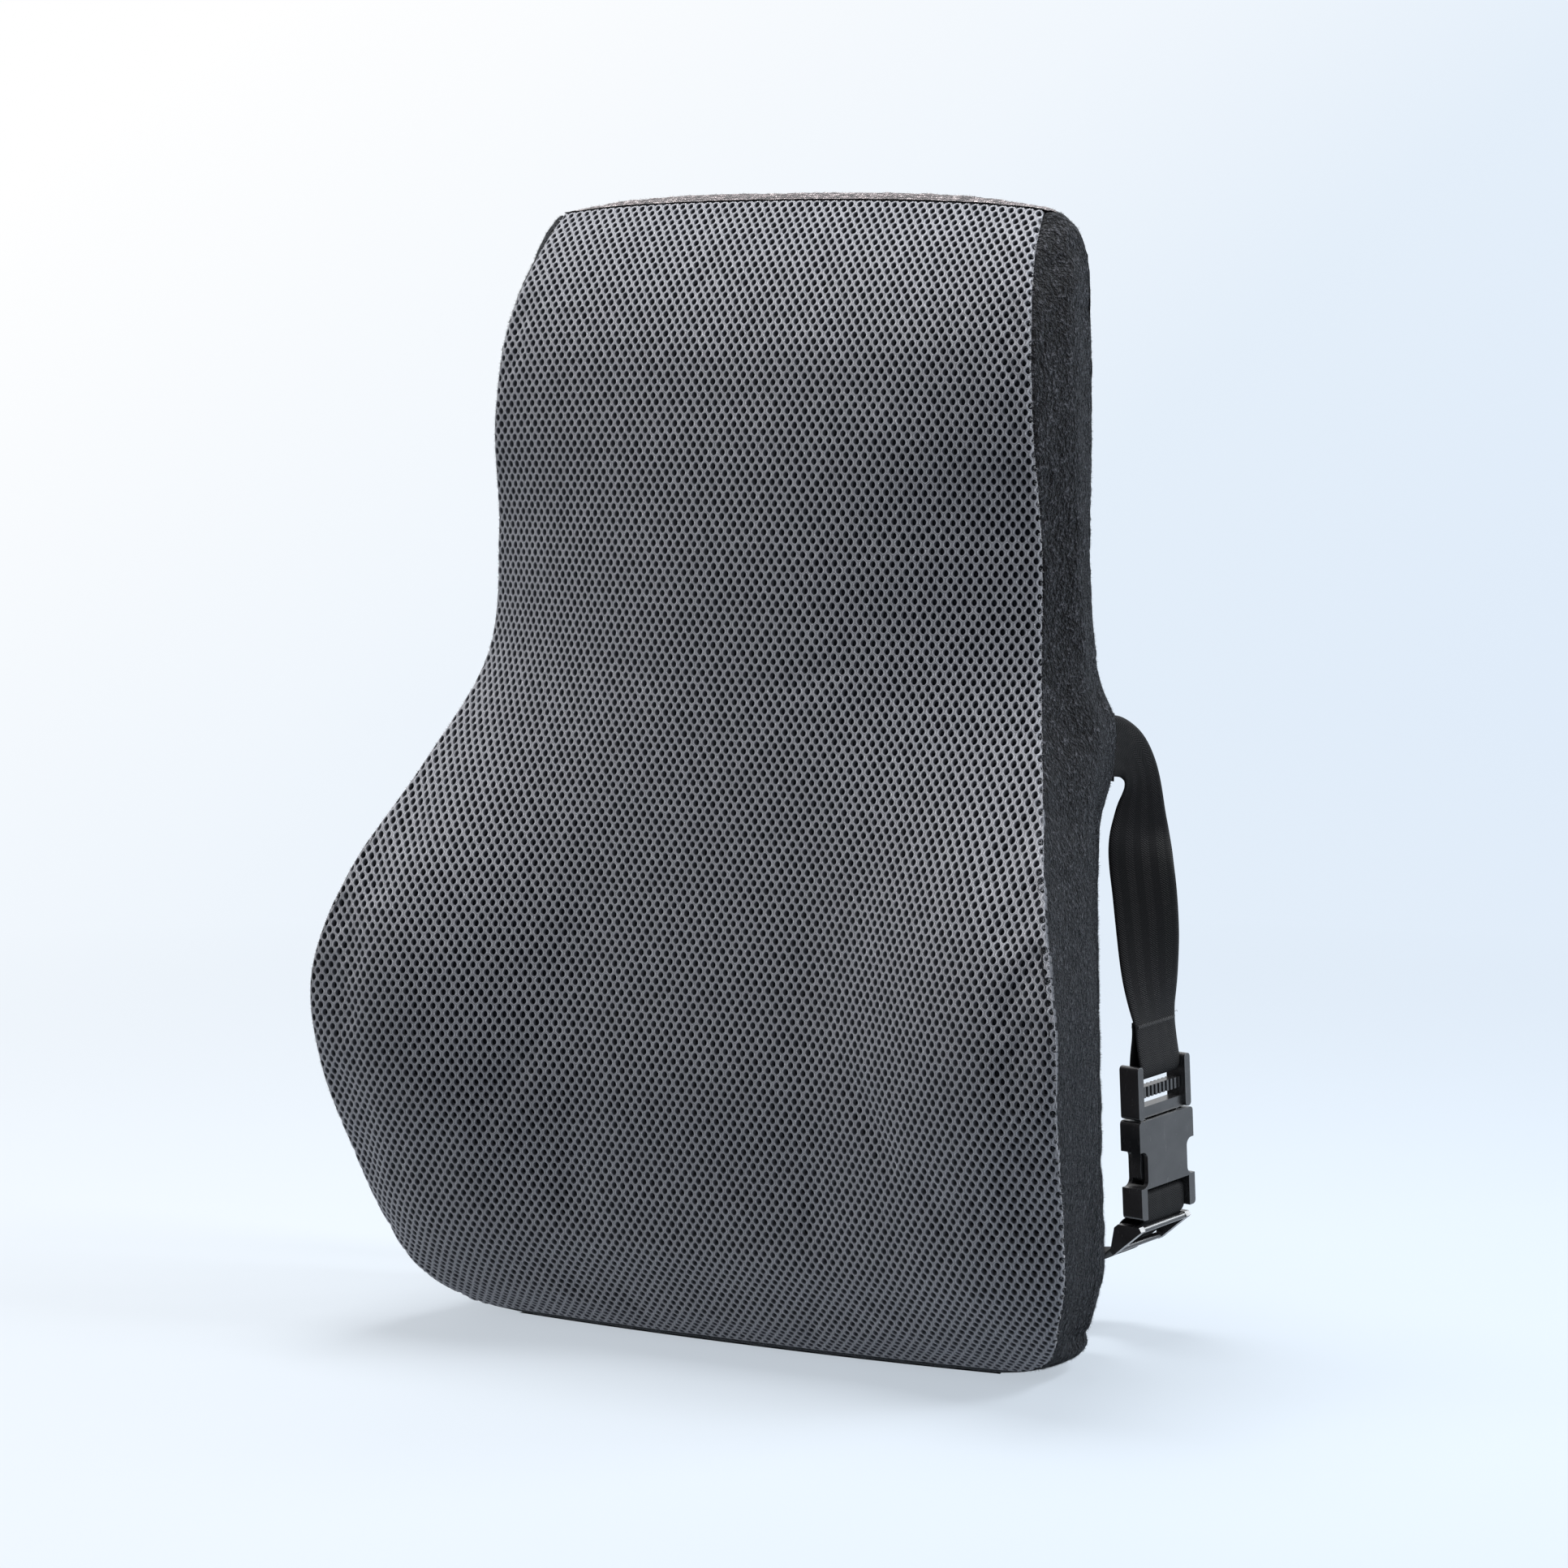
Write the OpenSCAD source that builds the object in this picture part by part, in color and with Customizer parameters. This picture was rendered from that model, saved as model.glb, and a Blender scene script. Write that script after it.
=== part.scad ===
// Back-support cushion: a shaped foam core in a sewn cover with a mesh front,
// plush side panels, a coarse knit back, a zip, and a buckled elastic strap.
// Front faces -Y, the back faces +Y, it stands on Z = 0.

/* [Cushion] */
// Height of the top seam above the floor
cushion_h = 442; // [436:1:448]
// Half width across the side wings
wing_half_w = 160; // [154:1:164]
// Half width at the waist above the wings
waist_half_w = 119; // [116:1:122]
// Half width along the top seam
top_half_w = 105; // [102:1:108]
// Half width of the flat base
base_half_w = 100; // [94:1:106]
// Half width of the back panel at mid height
back_half_w = 125; // [124:1:126]
// How far the wings reach in front of the back
wing_reach = 96; // [90:1:100]
// How far the wing crests stand out past the middle
wing_rise = 24; // [18:1:26]
// How far the middle of the back panel bows out
back_crown = 5; // [3:1:6]

/* [Fabric] */
// Thickness of the spacer mesh on the front
mesh_t = 3; // [2:0.1:3.4]
// Thickness of the plush side panels
plush_t = 1.6; // [1.2:0.1:2]
// Thickness of the coarse back fabric
back_t = 1.8; // [1.4:0.1:2.2]
// Clearance between the cover and the foam
cover_gap = 0.3; // [0.2:0.1:0.6]

/* [Strap] */
// Width of the elastic webbing
strap_w = 25; // [24:0.5:25]
// Thickness of the elastic webbing
strap_t = 1.4; // [1:0.1:1.4]

/* [Buckle] */
// Width of the buckle socket
buckle_w = 34; // [33.6:0.2:35]
// Thickness of the buckle socket
buckle_t = 9.5; // [9:0.1:10]
// Radius of the bars the webbing goes round
bar_r = 1.6; // [1.4:0.1:1.6]

/* [Zip] */
// Half length of the zip in the back panel
zip_half = 90; // [80:1:92]
// Height of the zip line above the floor
zip_z = 72; // [70:1:76]

/* [Hidden] */
$fn = 48;

ref_y = 42;   // plane the reach of the front is measured from
back_y = 40;  // plane of the back seams

// height share, half width, reach of the middle, wing rise, round drop, edge drop
ST = [[0, base_half_w + 7, 57, 0, 5, 0],
      [3, base_half_w + 20.5, 63, 0, 5, 1],
      [8, base_half_w + 30.5, 68, 0, 4, 2],
      [16, base_half_w + 38.4, 76, 1, 3, 3],
      [26, base_half_w + 43.4, 84, 3, 2, 6],
      [38, base_half_w + 48, 92, 5, 0, 13],
      [72, wing_half_w - 5, wing_reach, wing_rise * 0.58, 0, 10],
      [107, wing_half_w - 1, wing_reach + 3, wing_rise * 0.83, 0, 4],
      [142, wing_half_w, wing_reach, wing_rise, 0, 1],
      [182, wing_half_w - 10, wing_reach - 6, wing_rise * 0.7, 0, 0],
      [222, wing_half_w - 25, wing_reach - 13, wing_rise * 0.1, 8, 0],
      [262, waist_half_w + 3, 76, 0, 24, 1],
      [312, waist_half_w, 69, 0, 22, 2],
      [362, waist_half_w - 2, 60, 0, 8, 2],
      [402, top_half_w + 8, 48, 0, 3, 2],
      [427, top_half_w + 3, 31, 0, 1, 1],
      [442, top_half_w, 19, 0, 3, 0]];
// height share, half width at the back seams, depth the back seam is drawn in
BT = [[0, base_half_w - 2, 14], [3, base_half_w + 9, 8], [8, base_half_w + 17, 4],
      [16, back_half_w - 3, 1], [26, back_half_w, 0], [80, back_half_w, 0],
      [210, back_half_w, 0], [235, back_half_w + 2, 0], [262, back_half_w - 2, 0],
      [300, back_half_w - 5, 0], [362, back_half_w - 5, 0], [402, back_half_w - 6, 0],
      [427, back_half_w - 8, 1], [436, back_half_w - 11.5, 2.5], [442, back_half_w - 19, 5]];

// smooth curve through the rows of a table
function seg(T, z, i = 0) = i >= len(T) - 2 || z < T[i + 1][0] ? i : seg(T, z, i + 1);
function slope(T, c, i) =
    i == 0 ? (T[1][c] - T[0][c]) / (T[1][0] - T[0][0]) :
    i == len(T) - 1 ? (T[i][c] - T[i - 1][c]) / (T[i][0] - T[i - 1][0]) :
    let (a = T[i][0] - T[i - 1][0], b = T[i + 1][0] - T[i][0],
         p = (T[i][c] - T[i - 1][c]) / a, q = (T[i + 1][c] - T[i][c]) / b)
    (p * b + q * a) / (a + b);
function curve(T, c, z) =
    let (i = seg(T, z), h = T[i + 1][0] - T[i][0], t = (z - T[i][0]) / h,
         m0 = slope(T, c, i) * h, m1 = slope(T, c, i + 1) * h)
    (2 * t * t * t - 3 * t * t + 1) * T[i][c] + (t * t * t - 2 * t * t + t) * m0
    + (3 * t * t - 2 * t * t * t) * T[i + 1][c] + (t * t * t - t * t) * m1;
function step01(a, b, x) = let (t = min(1, max(0, (x - a) / (b - a)))) t * t * (3 - 2 * t);

ROWS = [0, 1.5, 4, 8, 14, 22, 30, 38, 50, 62, 74, 86, 98, 110, 122, 134, 146, 158, 170,
        182, 194, 206, 218, 230, 242, 256, 272, 290, 310, 330, 350, 370, 388, 404, 418, 430, 438, 442];
NR = len(ROWS) - 1;
NF = 26;
NG = 5;
NB = 16;
NU = NF + NG + NB + NG;

// front face: s runs from -1 to 1 across the cushion
function reach(s, z) = curve(ST, 2, z) + curve(ST, 3, z) * step01(0.28, 0.84, abs(s))
    - curve(ST, 4, z) * pow(abs(s), 2.2) - curve(ST, 5, z) * pow(abs(s), 8);
function droop(s, z) = (3 * s * s + 1.5 * pow(s, 6)) * pow(z / 442, 4);
function hz(z) = z * cushion_h / 442;
function front_pt(s, z) = [s * curve(ST, 1, z), ref_y - reach(s, z), hz(z - droop(s, z))];
function top_draw(z) = z < 404 ? 0 : 8 * pow((z - 404) / 38, 2);
function back_pt(q, z) = let (w = curve(BT, 1, z))
    [q * w, back_y - curve(BT, 2, z) + back_crown * (1 - pow(abs(q), 4)) * step01(0, 30, z) * (1 - step01(404, 446, z)),
     hz(z - droop(1, z) + (1 - pow(abs(q), 4)) * 4 * pow(z / 442, 8))];
// side panel: t runs from the front seam to the back seam
function side_pt(t, z, sg) =
    let (a = front_pt(sg, z), b = back_pt(sg, z), puff = sin(180 * t) * (3.5 * step01(0, 20, z) + 9 * step01(0, 3, z) * (1 - step01(6, 16, z))))
    [a[0] + (b[0] - a[0]) * t + sg * puff, a[1] + (b[1] - a[1]) * t, a[2] + (b[2] - a[2]) * t];
function ring_pt(i, z) =
    let (k = (i + NU) % NU)
    k <= NF ? front_pt(-1 + 2 * k / NF, z) :
    k <= NF + NG ? side_pt((k - NF) / NG, z, 1) :
    k <= NF + NG + NB ? back_pt(1 - 2 * (k - NF - NG) / NB, z) :
    side_pt(1 - (k - NF - NG - NB) / NG, z, -1);
P = [for (j = [0:NR]) [for (i = [0:NU - 1]) ring_pt(i, ROWS[j])]];
function wrapped(i) = (i + NU) % NU;
function unit(v) = v / max(norm(v), 0.000001);
// inward direction at each point of the skin
N = [for (j = [0:NR]) [for (i = [0:NU - 1])
    let (a = unit(P[j][i] - P[j][wrapped(i - 1)]) + unit(P[j][wrapped(i + 1)] - P[j][i]),
         b = P[min(NR, j + 1)][i] - P[max(0, j - 1)][i],
         n = unit(cross(b, a)))
    j == 0 ? unit([n[0] * 0.5, n[1] * 0.5, 0.9]) : j == NR ? unit([n[0] * 0.6, n[1] * 0.6, -0.8]) : n]];
function skin(i, j, d) = P[j][wrapped(i)] + N[j][wrapped(i)] * d;
// point on the skin at fractional places along the ring and the rows
function lerp(a, b, t) = a + (b - a) * t;
function skin_at(u, v, d) =
    let (i = floor(u), j = min(NR - 1, floor(v)), fu = u - i, fv = v - j)
    lerp(lerp(skin(i, j, d), skin(i + 1, j, d), fu), lerp(skin(i, j + 1, d), skin(i + 1, j + 1, d), fu), fv);

// sheet of fabric over part of the skin, from depth d0 to depth d1
module patch(U, V, d0, d1) {
    nu = len(U);
    nv = len(V);
    m = nu * nv;
    pts = concat([for (v = V) for (u = U) skin_at(u, v, d0)], [for (v = V) for (u = U) skin_at(u, v, d1)]);
    outer = [for (j = [0:nv - 2]) for (i = [0:nu - 2]) let (a = j * nu + i)
        each [[a, a + nu + 1, a + 1], [a, a + nu, a + nu + 1]]];
    inner = [for (j = [0:nv - 2]) for (i = [0:nu - 2]) let (a = m + j * nu + i)
        each [[a, a + 1, a + nu + 1], [a, a + nu + 1, a + nu]]];
    low = [for (i = [0:nu - 2]) each [[i, i + 1, m + i + 1], [i, m + i + 1, m + i]]];
    high = [for (i = [0:nu - 2]) let (a = (nv - 1) * nu + i)
        each [[a, m + a + 1, a + 1], [a, m + a, m + a + 1]]];
    left = [for (j = [0:nv - 2]) let (a = j * nu)
        each [[a, m + a + nu, a + nu], [a, m + a, m + a + nu]]];
    right = [for (j = [0:nv - 2]) let (a = j * nu + nu - 1)
        each [[a, a + nu, m + a + nu], [a, m + a + nu, m + a]]];
    polyhedron(pts, concat(outer, inner, low, high, left, right));
}
function cols(a, b) = concat([a + 0.04], [for (i = [a + 1:b - 1]) i], [b - 0.04]);
function rows(a, b) = concat([a], [for (i = [floor(a) + 1:ceil(b) - 1]) i], [b]);

// ---------------------------------------------------------------- strap and buckle places
buckle_at = [135, 70, 89.5];
buckle_turn = 76.5;
buckle_roll = 4;
bx = [cos(buckle_turn) * cos(buckle_roll), sin(buckle_turn) * cos(buckle_roll), sin(buckle_roll)];
by = [-sin(buckle_turn), cos(buckle_turn), 0];
bz = cross(bx, by);
function bp(x, y, z) = buckle_at + bx * x + by * y + bz * z;
module at_buckle() { translate(buckle_at) rotate([0, -buckle_roll, buckle_turn]) children(); }
frame_bar_z = 17.8;
socket_bar_z = -31;
lay = bar_r + 0.15 + strap_t / 2;
// the adjuster lies along a slanted run of the webbing
slant = 52;
adj_y = -lay;
adj_z = -40;
run_dir = [sin(slant), -cos(slant)];
run_nor = [cos(slant), sin(slant)];
adj_mid = 11;
adj_lift = strap_t / 2 + 0.15 + strap_t + 0.15 + 1.3;
function on_run(s, n) = [adj_y + run_dir[0] * s + run_nor[0] * n, adj_z + run_dir[1] * s + run_nor[1] * n];
function run_pt(s, n) = let (q = on_run(s, n)) bp(0, q[0], q[1]);

// station on the free webbing: centre and width direction
UP = [[130.6, 43.2, 234.8, 0, 0.3, 1], [132.2, 46.6, 232.6, -0.03, 0.62, 0.78], [133.4, 51.6, 226.8, 0, 0.86, 0.5],
      [133, 55.6, 218.4, 0.16, 0.96, 0.2], [132, 58, 209, 0.44, 0.89, 0.08],
      [131.6, 59, 199, 0.68, 0.73, 0], [132.6, 59, 188, 0.84, 0.54, 0],
      [134, 59.2, 177, 0.84, 0.54, 0], [135, 60.2, 162, 0.76, 0.65, 0],
      [135.2, 62.4, 146, 0.58, 0.82, 0]];
DOWN = [[-132, 60.5, 150, -0.6, 0.8, 0], [-132, 62, 120, -0.4, 0.92, 0], [-131, 65, 90, -0.25, 0.97, 0],
        [-127, 67, 62, -0.15, 0.99, 0], [-113, 68, 42, -0.1, 1, 0], [-86, 69, 32, 0, 1, 0],
        [-45, 69, 27, 0, 1, 0], [0, 69, 26, 0, 1, 0], [45, 70, 26, 0, 1, 0], [82, 71, 27.6, 0.1, 1, 0]];
function flip(s) = [-s[0], s[1], s[2], -s[3], s[4], s[5]];
function st(p) = [p[0], p[1], p[2], bx[0], bx[1], bx[2]];
function smooth4(a, b, c, d, t) =
    0.5 * (2 * b + (c - a) * t + (2 * a - 5 * b + 4 * c - d) * t * t + (3 * b - a - 3 * c + d) * t * t * t);
function eased(L, n) = concat([for (i = [0:len(L) - 2]) for (k = [0:n - 1])
    smooth4(L[max(0, i - 1)], L[i], L[i + 1], L[min(len(L) - 1, i + 2)], k / n)], [L[len(L) - 1]]);
function loop_arc(cy, cz, r, a0, a1, n) = [for (k = [0:n]) let (a = a0 + (a1 - a0) * k / n)
    st(bp(0, cy + r * cos(a), cz + r * sin(a)))];
module ribbon(L, w, t) {
    n = len(L);
    c = [for (s = L) [s[0], s[1], s[2]]];
    tan = [for (i = [0:n - 1]) unit(c[min(n - 1, i + 1)] - c[max(0, i - 1)])];
    wd = [for (i = [0:n - 1]) let (q = [L[i][3], L[i][4], L[i][5]]) unit(q - tan[i] * (q * tan[i]))];
    nr = [for (i = [0:n - 1]) cross(tan[i], wd[i])];
    pts = [for (i = [0:n - 1]) each [
        c[i] - wd[i] * w / 2 - nr[i] * t / 2, c[i] + wd[i] * w / 2 - nr[i] * t / 2,
        c[i] + wd[i] * w / 2 + nr[i] * t / 2, c[i] - wd[i] * w / 2 + nr[i] * t / 2]];
    sides = [for (i = [0:n - 2]) for (k = [0:3]) let (a = 4 * i + k, b = 4 * i + (k + 1) % 4)
        each [[a, b, b + 4], [a, b + 4, a + 4]]];
    polyhedron(pts, concat(sides, [[3, 2, 1], [3, 1, 0]],
        [[4 * n - 4, 4 * n - 3, 4 * n - 2], [4 * n - 4, 4 * n - 2, 4 * n - 1]]));
}

// ---------------------------------------------------------------- cushion
module foam_core() {
    V = rows(0, NR);
    nv = len(V);
    function dep(i) = i <= NF ? mesh_t + cover_gap : back_t + cover_gap;
    pts = concat([for (v = V) for (i = [0:NU - 1]) skin(i, v, dep(i))],
        [[0, 10, skin(0, 0, 2.1)[2]], [0, 30, skin(0, NR, 2.1)[2]]]);
    color([0.9, 0.87, 0.78]) polyhedron(pts, concat(
        [for (j = [0:nv - 2]) for (i = [0:NU - 1]) let (a = j * NU + i, b = j * NU + (i + 1) % NU)
            each [[a, b + NU, b], [a, a + NU, b + NU]]],
        [for (i = [0:NU - 1]) [i, (i + 1) % NU, nv * NU]],
        [for (i = [0:NU - 1]) [(nv - 1) * NU + (i + 1) % NU, (nv - 1) * NU + i, nv * NU + 1]]));
}
module front_mesh() { color([0.42, 0.44, 0.48]) patch(cols(0, NF), rows(0.15, NR - 0.5), 0, mesh_t); }
module right_gusset() { color([0.16, 0.17, 0.2]) patch(cols(NF, NF + NG), rows(0.15, NR - 0.5), 0, plush_t); }
module left_gusset() { color([0.16, 0.17, 0.2]) patch(cols(NF + NG + NB, NU), rows(0.15, NR - 0.5), 0, plush_t); }
zip_lo = 9 + (zip_z * 442 / cushion_h - 67) / 12;
zip_hi = 10 + (zip_z * 442 / cushion_h - 69) / 12;
module back_lower() {
    color([0.3, 0.29, 0.31]) patch(cols(NF + NG, NF + NG + NB), rows(0.15, zip_lo), 0, back_t);
}
module back_upper() {
    color([0.3, 0.29, 0.31]) {
        patch(cols(NF + NG, NF + NG + NB), rows(zip_hi, NR - 0.05), 0, back_t);
        top_cap();
    }
}
module cap_slab(j, up, t) {
    // strips that join the front edge of the ring to its back edge
    nb = NB;
    F = [for (k = [0:nb]) let (u = NF * k / nb, i = floor(u), fu = u - i) lerp(P[j][i], P[j][min(NF, i + 1)], fu)];
    B = [for (k = [0:nb]) P[j][NF + NG + NB - k]];
    m = nb + 1;
    G = [0, 0.2, 0.5, 0.8, 1];
    ng = len(G);
    function cp(g, k, d) = let (p = lerp(F[k], B[k], g)) [p[0], p[1], p[2] + up * (3 * sin(180 * g) * (1 - pow(abs(2 * k / nb - 1), 4)) - d)];
    pts = concat([for (g = G) for (k = [0:nb]) cp(g, k, 0)], [for (g = G) for (k = [0:nb]) cp(g, k, t)]);
    q = ng * m;
    f1 = [for (g = [0:ng - 2]) for (k = [0:nb - 1]) let (a = g * m + k) each [[a, a + m + 1, a + 1], [a, a + m, a + m + 1]]];
    f2 = [for (g = [0:ng - 2]) for (k = [0:nb - 1]) let (a = q + g * m + k) each [[a, a + 1, a + m + 1], [a, a + m + 1, a + m]]];
    e1 = [for (k = [0:nb - 1]) each [[k, k + 1, q + k + 1], [k, q + k + 1, q + k]]];
    e2 = [for (k = [0:nb - 1]) let (a = (ng - 1) * m + k) each [[a, q + a + 1, a + 1], [a, q + a, q + a + 1]]];
    e3 = [for (g = [0:ng - 2]) let (a = g * m) each [[a, q + a + m, a + m], [a, q + a, q + a + m]]];
    e4 = [for (g = [0:ng - 2]) let (a = g * m + nb) each [[a, a + m, q + a + m], [a, q + a + m, q + a]]];
    polyhedron(pts, concat(f1, f2, e1, e2, e3, e4));
}
module top_cap() { translate([0, 0, 0]) cap_slab(NR, 1, back_t - 0.1); }
module base_panel() {
    color([0.13, 0.14, 0.16]) linear_extrude(1.5) polygon(concat(
        [for (i = [0:NU - 1]) let (p = P[0][i], c = [0, 22]) [c[0] + (p[0] - c[0]) * 0.985, c[1] + (p[1] - c[1]) * 0.97]]));
}

// ---------------------------------------------------------------- zip in the back panel
zip_y = back_y + back_crown - 1.6;
module zip_tape(sg) { translate([-zip_half - 6, zip_y, zip_z + (sg > 0 ? 0.9 : -4.6)]) cube([2 * zip_half + 12, 0.9, 3.7]); }
module zip_tape_upper() { color([0.07, 0.07, 0.08]) zip_tape(1); }
module zip_tape_lower() { color([0.07, 0.07, 0.08]) zip_tape(-1); }
zip_pitch = 5;
module zip_row(sg) {
    n = floor(2 * zip_half / zip_pitch);
    for (k = [0:n - 1]) translate([-zip_half + zip_pitch * (k + (sg > 0 ? 0.5 : 0)), zip_y + 1.05, zip_z + (sg > 0 ? -0.5 : -2.4)])
        cube([zip_pitch * 0.4, 1.2, 2.9]);
    translate([-zip_half, zip_y + 1.05, zip_z + (sg > 0 ? 1.4 : -2.4)]) cube([2 * zip_half, 0.9, 1]);
}
module zip_teeth_upper() { color([0.1, 0.1, 0.11]) zip_row(1); }
module zip_teeth_lower() { color([0.1, 0.1, 0.11]) zip_row(-1); }
module zip_stop(sg) { translate([sg * (zip_half + 2.2) - 1.2, zip_y + 1.05, zip_z - 2.6]) cube([2.4, 1.8, 5.2]); }
module zip_stop_left() { color([0.12, 0.12, 0.13]) zip_stop(-1); }
module zip_stop_right() { color([0.12, 0.12, 0.13]) zip_stop(1); }
slider_x = 82;
module zip_slider() {
    color([0.12, 0.12, 0.13]) translate([slider_x, zip_y + 2.5, zip_z]) {
        rotate([-90, 0, 0]) linear_extrude(1.4) difference() {
            union() { translate([-4.5, -3.6]) square([9, 7.2]); translate([4.5, 0]) circle(r = 3.6); translate([-4.5, 0]) circle(r = 3.6); }
            translate([-9, -0.9]) square([3.4, 1.8]);
        }
        for (s = [-1, 1]) translate([-1.6, 1.3, s * 1.9 - 0.6]) cube([3.2, 3.4, 1.2]);
        translate([0, 3.2, -2.3]) cylinder(r = 0.6, h = 4.6);
    }
}
module zip_pull() {
    color([0.1, 0.1, 0.11]) translate([slider_x, zip_y + 5.7, zip_z]) {
        difference() {
            union() {
                translate([-15, -0.7, -0.95]) cube([14.4, 1.4, 1.9]);
                translate([-28, -0.7, -3.2]) cube([14, 1.4, 6.4]);
                translate([0, 0, -0.95]) cylinder(r = 1.5, h = 1.9);
            }
            translate([0, 0, -2]) cylinder(r = 0.65, h = 4);
            translate([-24, -2, 0]) rotate([-90, 0, 0]) cylinder(r = 1.4, h = 4);
        }
    }
}

// ---------------------------------------------------------------- strap
module strap_upper() {
    color([0.06, 0.06, 0.065]) ribbon(concat(eased(concat(UP, [st(bp(0, -0.85, 38))]), 4),
        eased([st(bp(0, -0.85, 34)), st(bp(0, -1.6, 27)), st(bp(0, -lay, 21)), st(bp(0, -lay, frame_bar_z + 0.6))], 3),
        loop_arc(0, frame_bar_z, lay, 180, 360, 10),
        eased([st(bp(0, lay, frame_bar_z + 0.6)), st(bp(0, lay, 21)), st(bp(0, 1.7, 27)), st(bp(0, 0.75, 33)), st(bp(0, 0.75, 38))], 3)), strap_w, strap_t);
}
module strap_lower() {
    color([0.06, 0.06, 0.065]) ribbon(concat(
        eased(concat([for (s = UP) flip(s)], DOWN, [st(run_pt(37, 2.4)), st(run_pt(31, 0))]), 3),
        [st(run_pt(24, 0)), st(run_pt(6, 0)), st(run_pt(1.5, 0))],
        eased([st(bp(0, adj_y, adj_z + 1.5)), st(bp(0, adj_y, socket_bar_z - 0.5))], 2),
        loop_arc(0, socket_bar_z, lay, 180, 0, 10)), strap_w, strap_t);
}
module strap_return() {
    m = on_run(adj_mid, adj_lift);
    r = 1.3 + 0.15 + strap_t / 2;
    color([0.06, 0.06, 0.065]) ribbon(concat(
        [st(bp(0, lay, socket_bar_z - 0.15)), st(bp(0, lay, socket_bar_z - 2)), st(bp(0, lay + 0.2, adj_z + 3))],
        loop_arc(m[0], m[1], r, 70, -215, 16)), strap_w, strap_t);
}
module anchor(sg) {
    color([0.05, 0.05, 0.055]) translate([sg * 128.5, 40.6, 221.6]) rotate([0, 0, sg > 0 ? -32 : 32]) translate([-1, -0.2, 0]) cube([1.9, 0.4, 26]);
}
module strap_anchor_right() { anchor(1); }
module strap_anchor_left() { anchor(-1); }

// ---------------------------------------------------------------- buckle
module rrect(x0, x1, z0, z1, r) {
    translate([x0 + r, z0]) square([x1 - x0 - 2 * r, z1 - z0]);
    translate([x0, z0 + r]) square([x1 - x0, z1 - z0 - 2 * r]);
    for (x = [x0 + r, x1 - r]) for (z = [z0 + r, z1 - r]) translate([x, z]) circle(r = r, $fn = 32);
}
module slab(y0, y1) { translate([0, y1, 0]) rotate([90, 0, 0]) linear_extrude(y1 - y0) children(); }
hw = buckle_w / 2;
module buckle_socket() {
    color([0.08, 0.08, 0.085]) at_buckle() {
        difference() {
            slab(-buckle_t / 2, buckle_t / 2) difference() {
                rrect(-hw, hw, -39, 0, 1.6);
                translate([-hw + 3.7, -40]) square([buckle_w - 7.4, 13]);
                for (s = [-1, 1]) translate([s * (hw - 1.5), -19.2]) {
                    translate([-3, -4.4]) square([6, 8.8]);
                    for (e = [-1, 1]) translate([0, e * 4.2]) circle(r = 3, $fn = 32);
                    translate([s > 0 ? 0 : -6, -7.2]) square([6, 14.4]);
                }
            }
            slab(-2.9, 2.9) translate([-13.4, -25.5]) square([26.8, 26]);
        }
        translate([-hw + 3, 0, socket_bar_z]) rotate([0, 90, 0]) cylinder(r = bar_r, h = buckle_w - 6);
    }
}
module buckle_frame() {
    color([0.09, 0.09, 0.095]) at_buckle() {
        for (s = [-1, 1]) slab(-4.5, 4.5) rrect(s > 0 ? 13.1 : -16.5, s > 0 ? 16.5 : -13.1, 0.5, 21.5, 1.5);
        slab(-2.6, 2.6) translate([-14, 0.5]) square([28, 4.4]);
        slab(-1.6, 1.6) translate([-14, 8.2]) square([28, 4.2]);
        for (k = [-5:5]) translate([k * 2.4 - 0.6, -2.3, 8.2]) cube([1.2, 4.6, 4.2]);
        translate([-14, 0, frame_bar_z]) rotate([0, 90, 0]) cylinder(r = bar_r, h = 28);
    }
}
module buckle_guide() {
    color([0.09, 0.09, 0.095]) at_buckle() slab(-1.5, 1.5) difference() {
        rrect(-2.4, 2.4, -23, 0.5, 1);
        translate([-0.8, -19]) square([1.6, 14]);
    }
}
module prong(sg) {
    color([0.1, 0.1, 0.105]) at_buckle() mirror([sg > 0 ? 0 : 1, 0, 0]) {
        slab(-2.2, 2.2)
            polygon([[9.75, -0.2], [11.65, -0.2], [12, -1.9], [12, -10], [12.6, -12.6], [13.3, -13], [14.1, -20], [13.4, -23], [12, -24.4], [10.4, -24], [9.6, -22], [9.9, -13], [9.6, -10], [9.4, -1.9]]);
        translate([10.7, 2.1, -0.9]) rotate([90, 0, 0]) cylinder(r = 1.3, h = 4.2);
    }
}
module prong_rear() { prong(1); }
module prong_front() { prong(-1); }
module strap_adjuster() {
    color([0.09, 0.09, 0.095]) at_buckle() translate([0, adj_y, adj_z]) rotate([slant, 0, 0]) translate([0, 0, -adj_mid]) {
        for (s = [-1, 1]) translate([0, -strap_t / 2 - 1.45, s * 7.8]) translate([-16, 0, 0]) rotate([0, 90, 0]) cylinder(r = 1.3, h = 32);
        translate([-16, adj_lift, 0]) rotate([0, 90, 0]) cylinder(r = 1.3, h = 32);
        for (s = [-1, 1]) translate([s * 14.6 - 1.4, 0, 0]) rotate([90, 0, 90]) linear_extrude(2.8)
            polygon([[-3.4, 9.1], [-1.4, 9.3], [adj_lift + 1.3, 1.2], [adj_lift + 1.3, -1.2], [-1.4, -9.3], [-3.4, -9.1]]);
    }
}

foam_core();
front_mesh();
left_gusset();
right_gusset();
back_upper();
back_lower();
base_panel();
zip_tape_upper();
zip_tape_lower();
zip_teeth_upper();
zip_teeth_lower();
zip_stop_left();
zip_stop_right();
zip_slider();
zip_pull();
strap_upper();
strap_lower();
strap_return();
strap_anchor_right();
strap_anchor_left();
buckle_socket();
buckle_frame();
buckle_guide();
prong_front();
prong_rear();
strap_adjuster();
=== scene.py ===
import math

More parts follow.
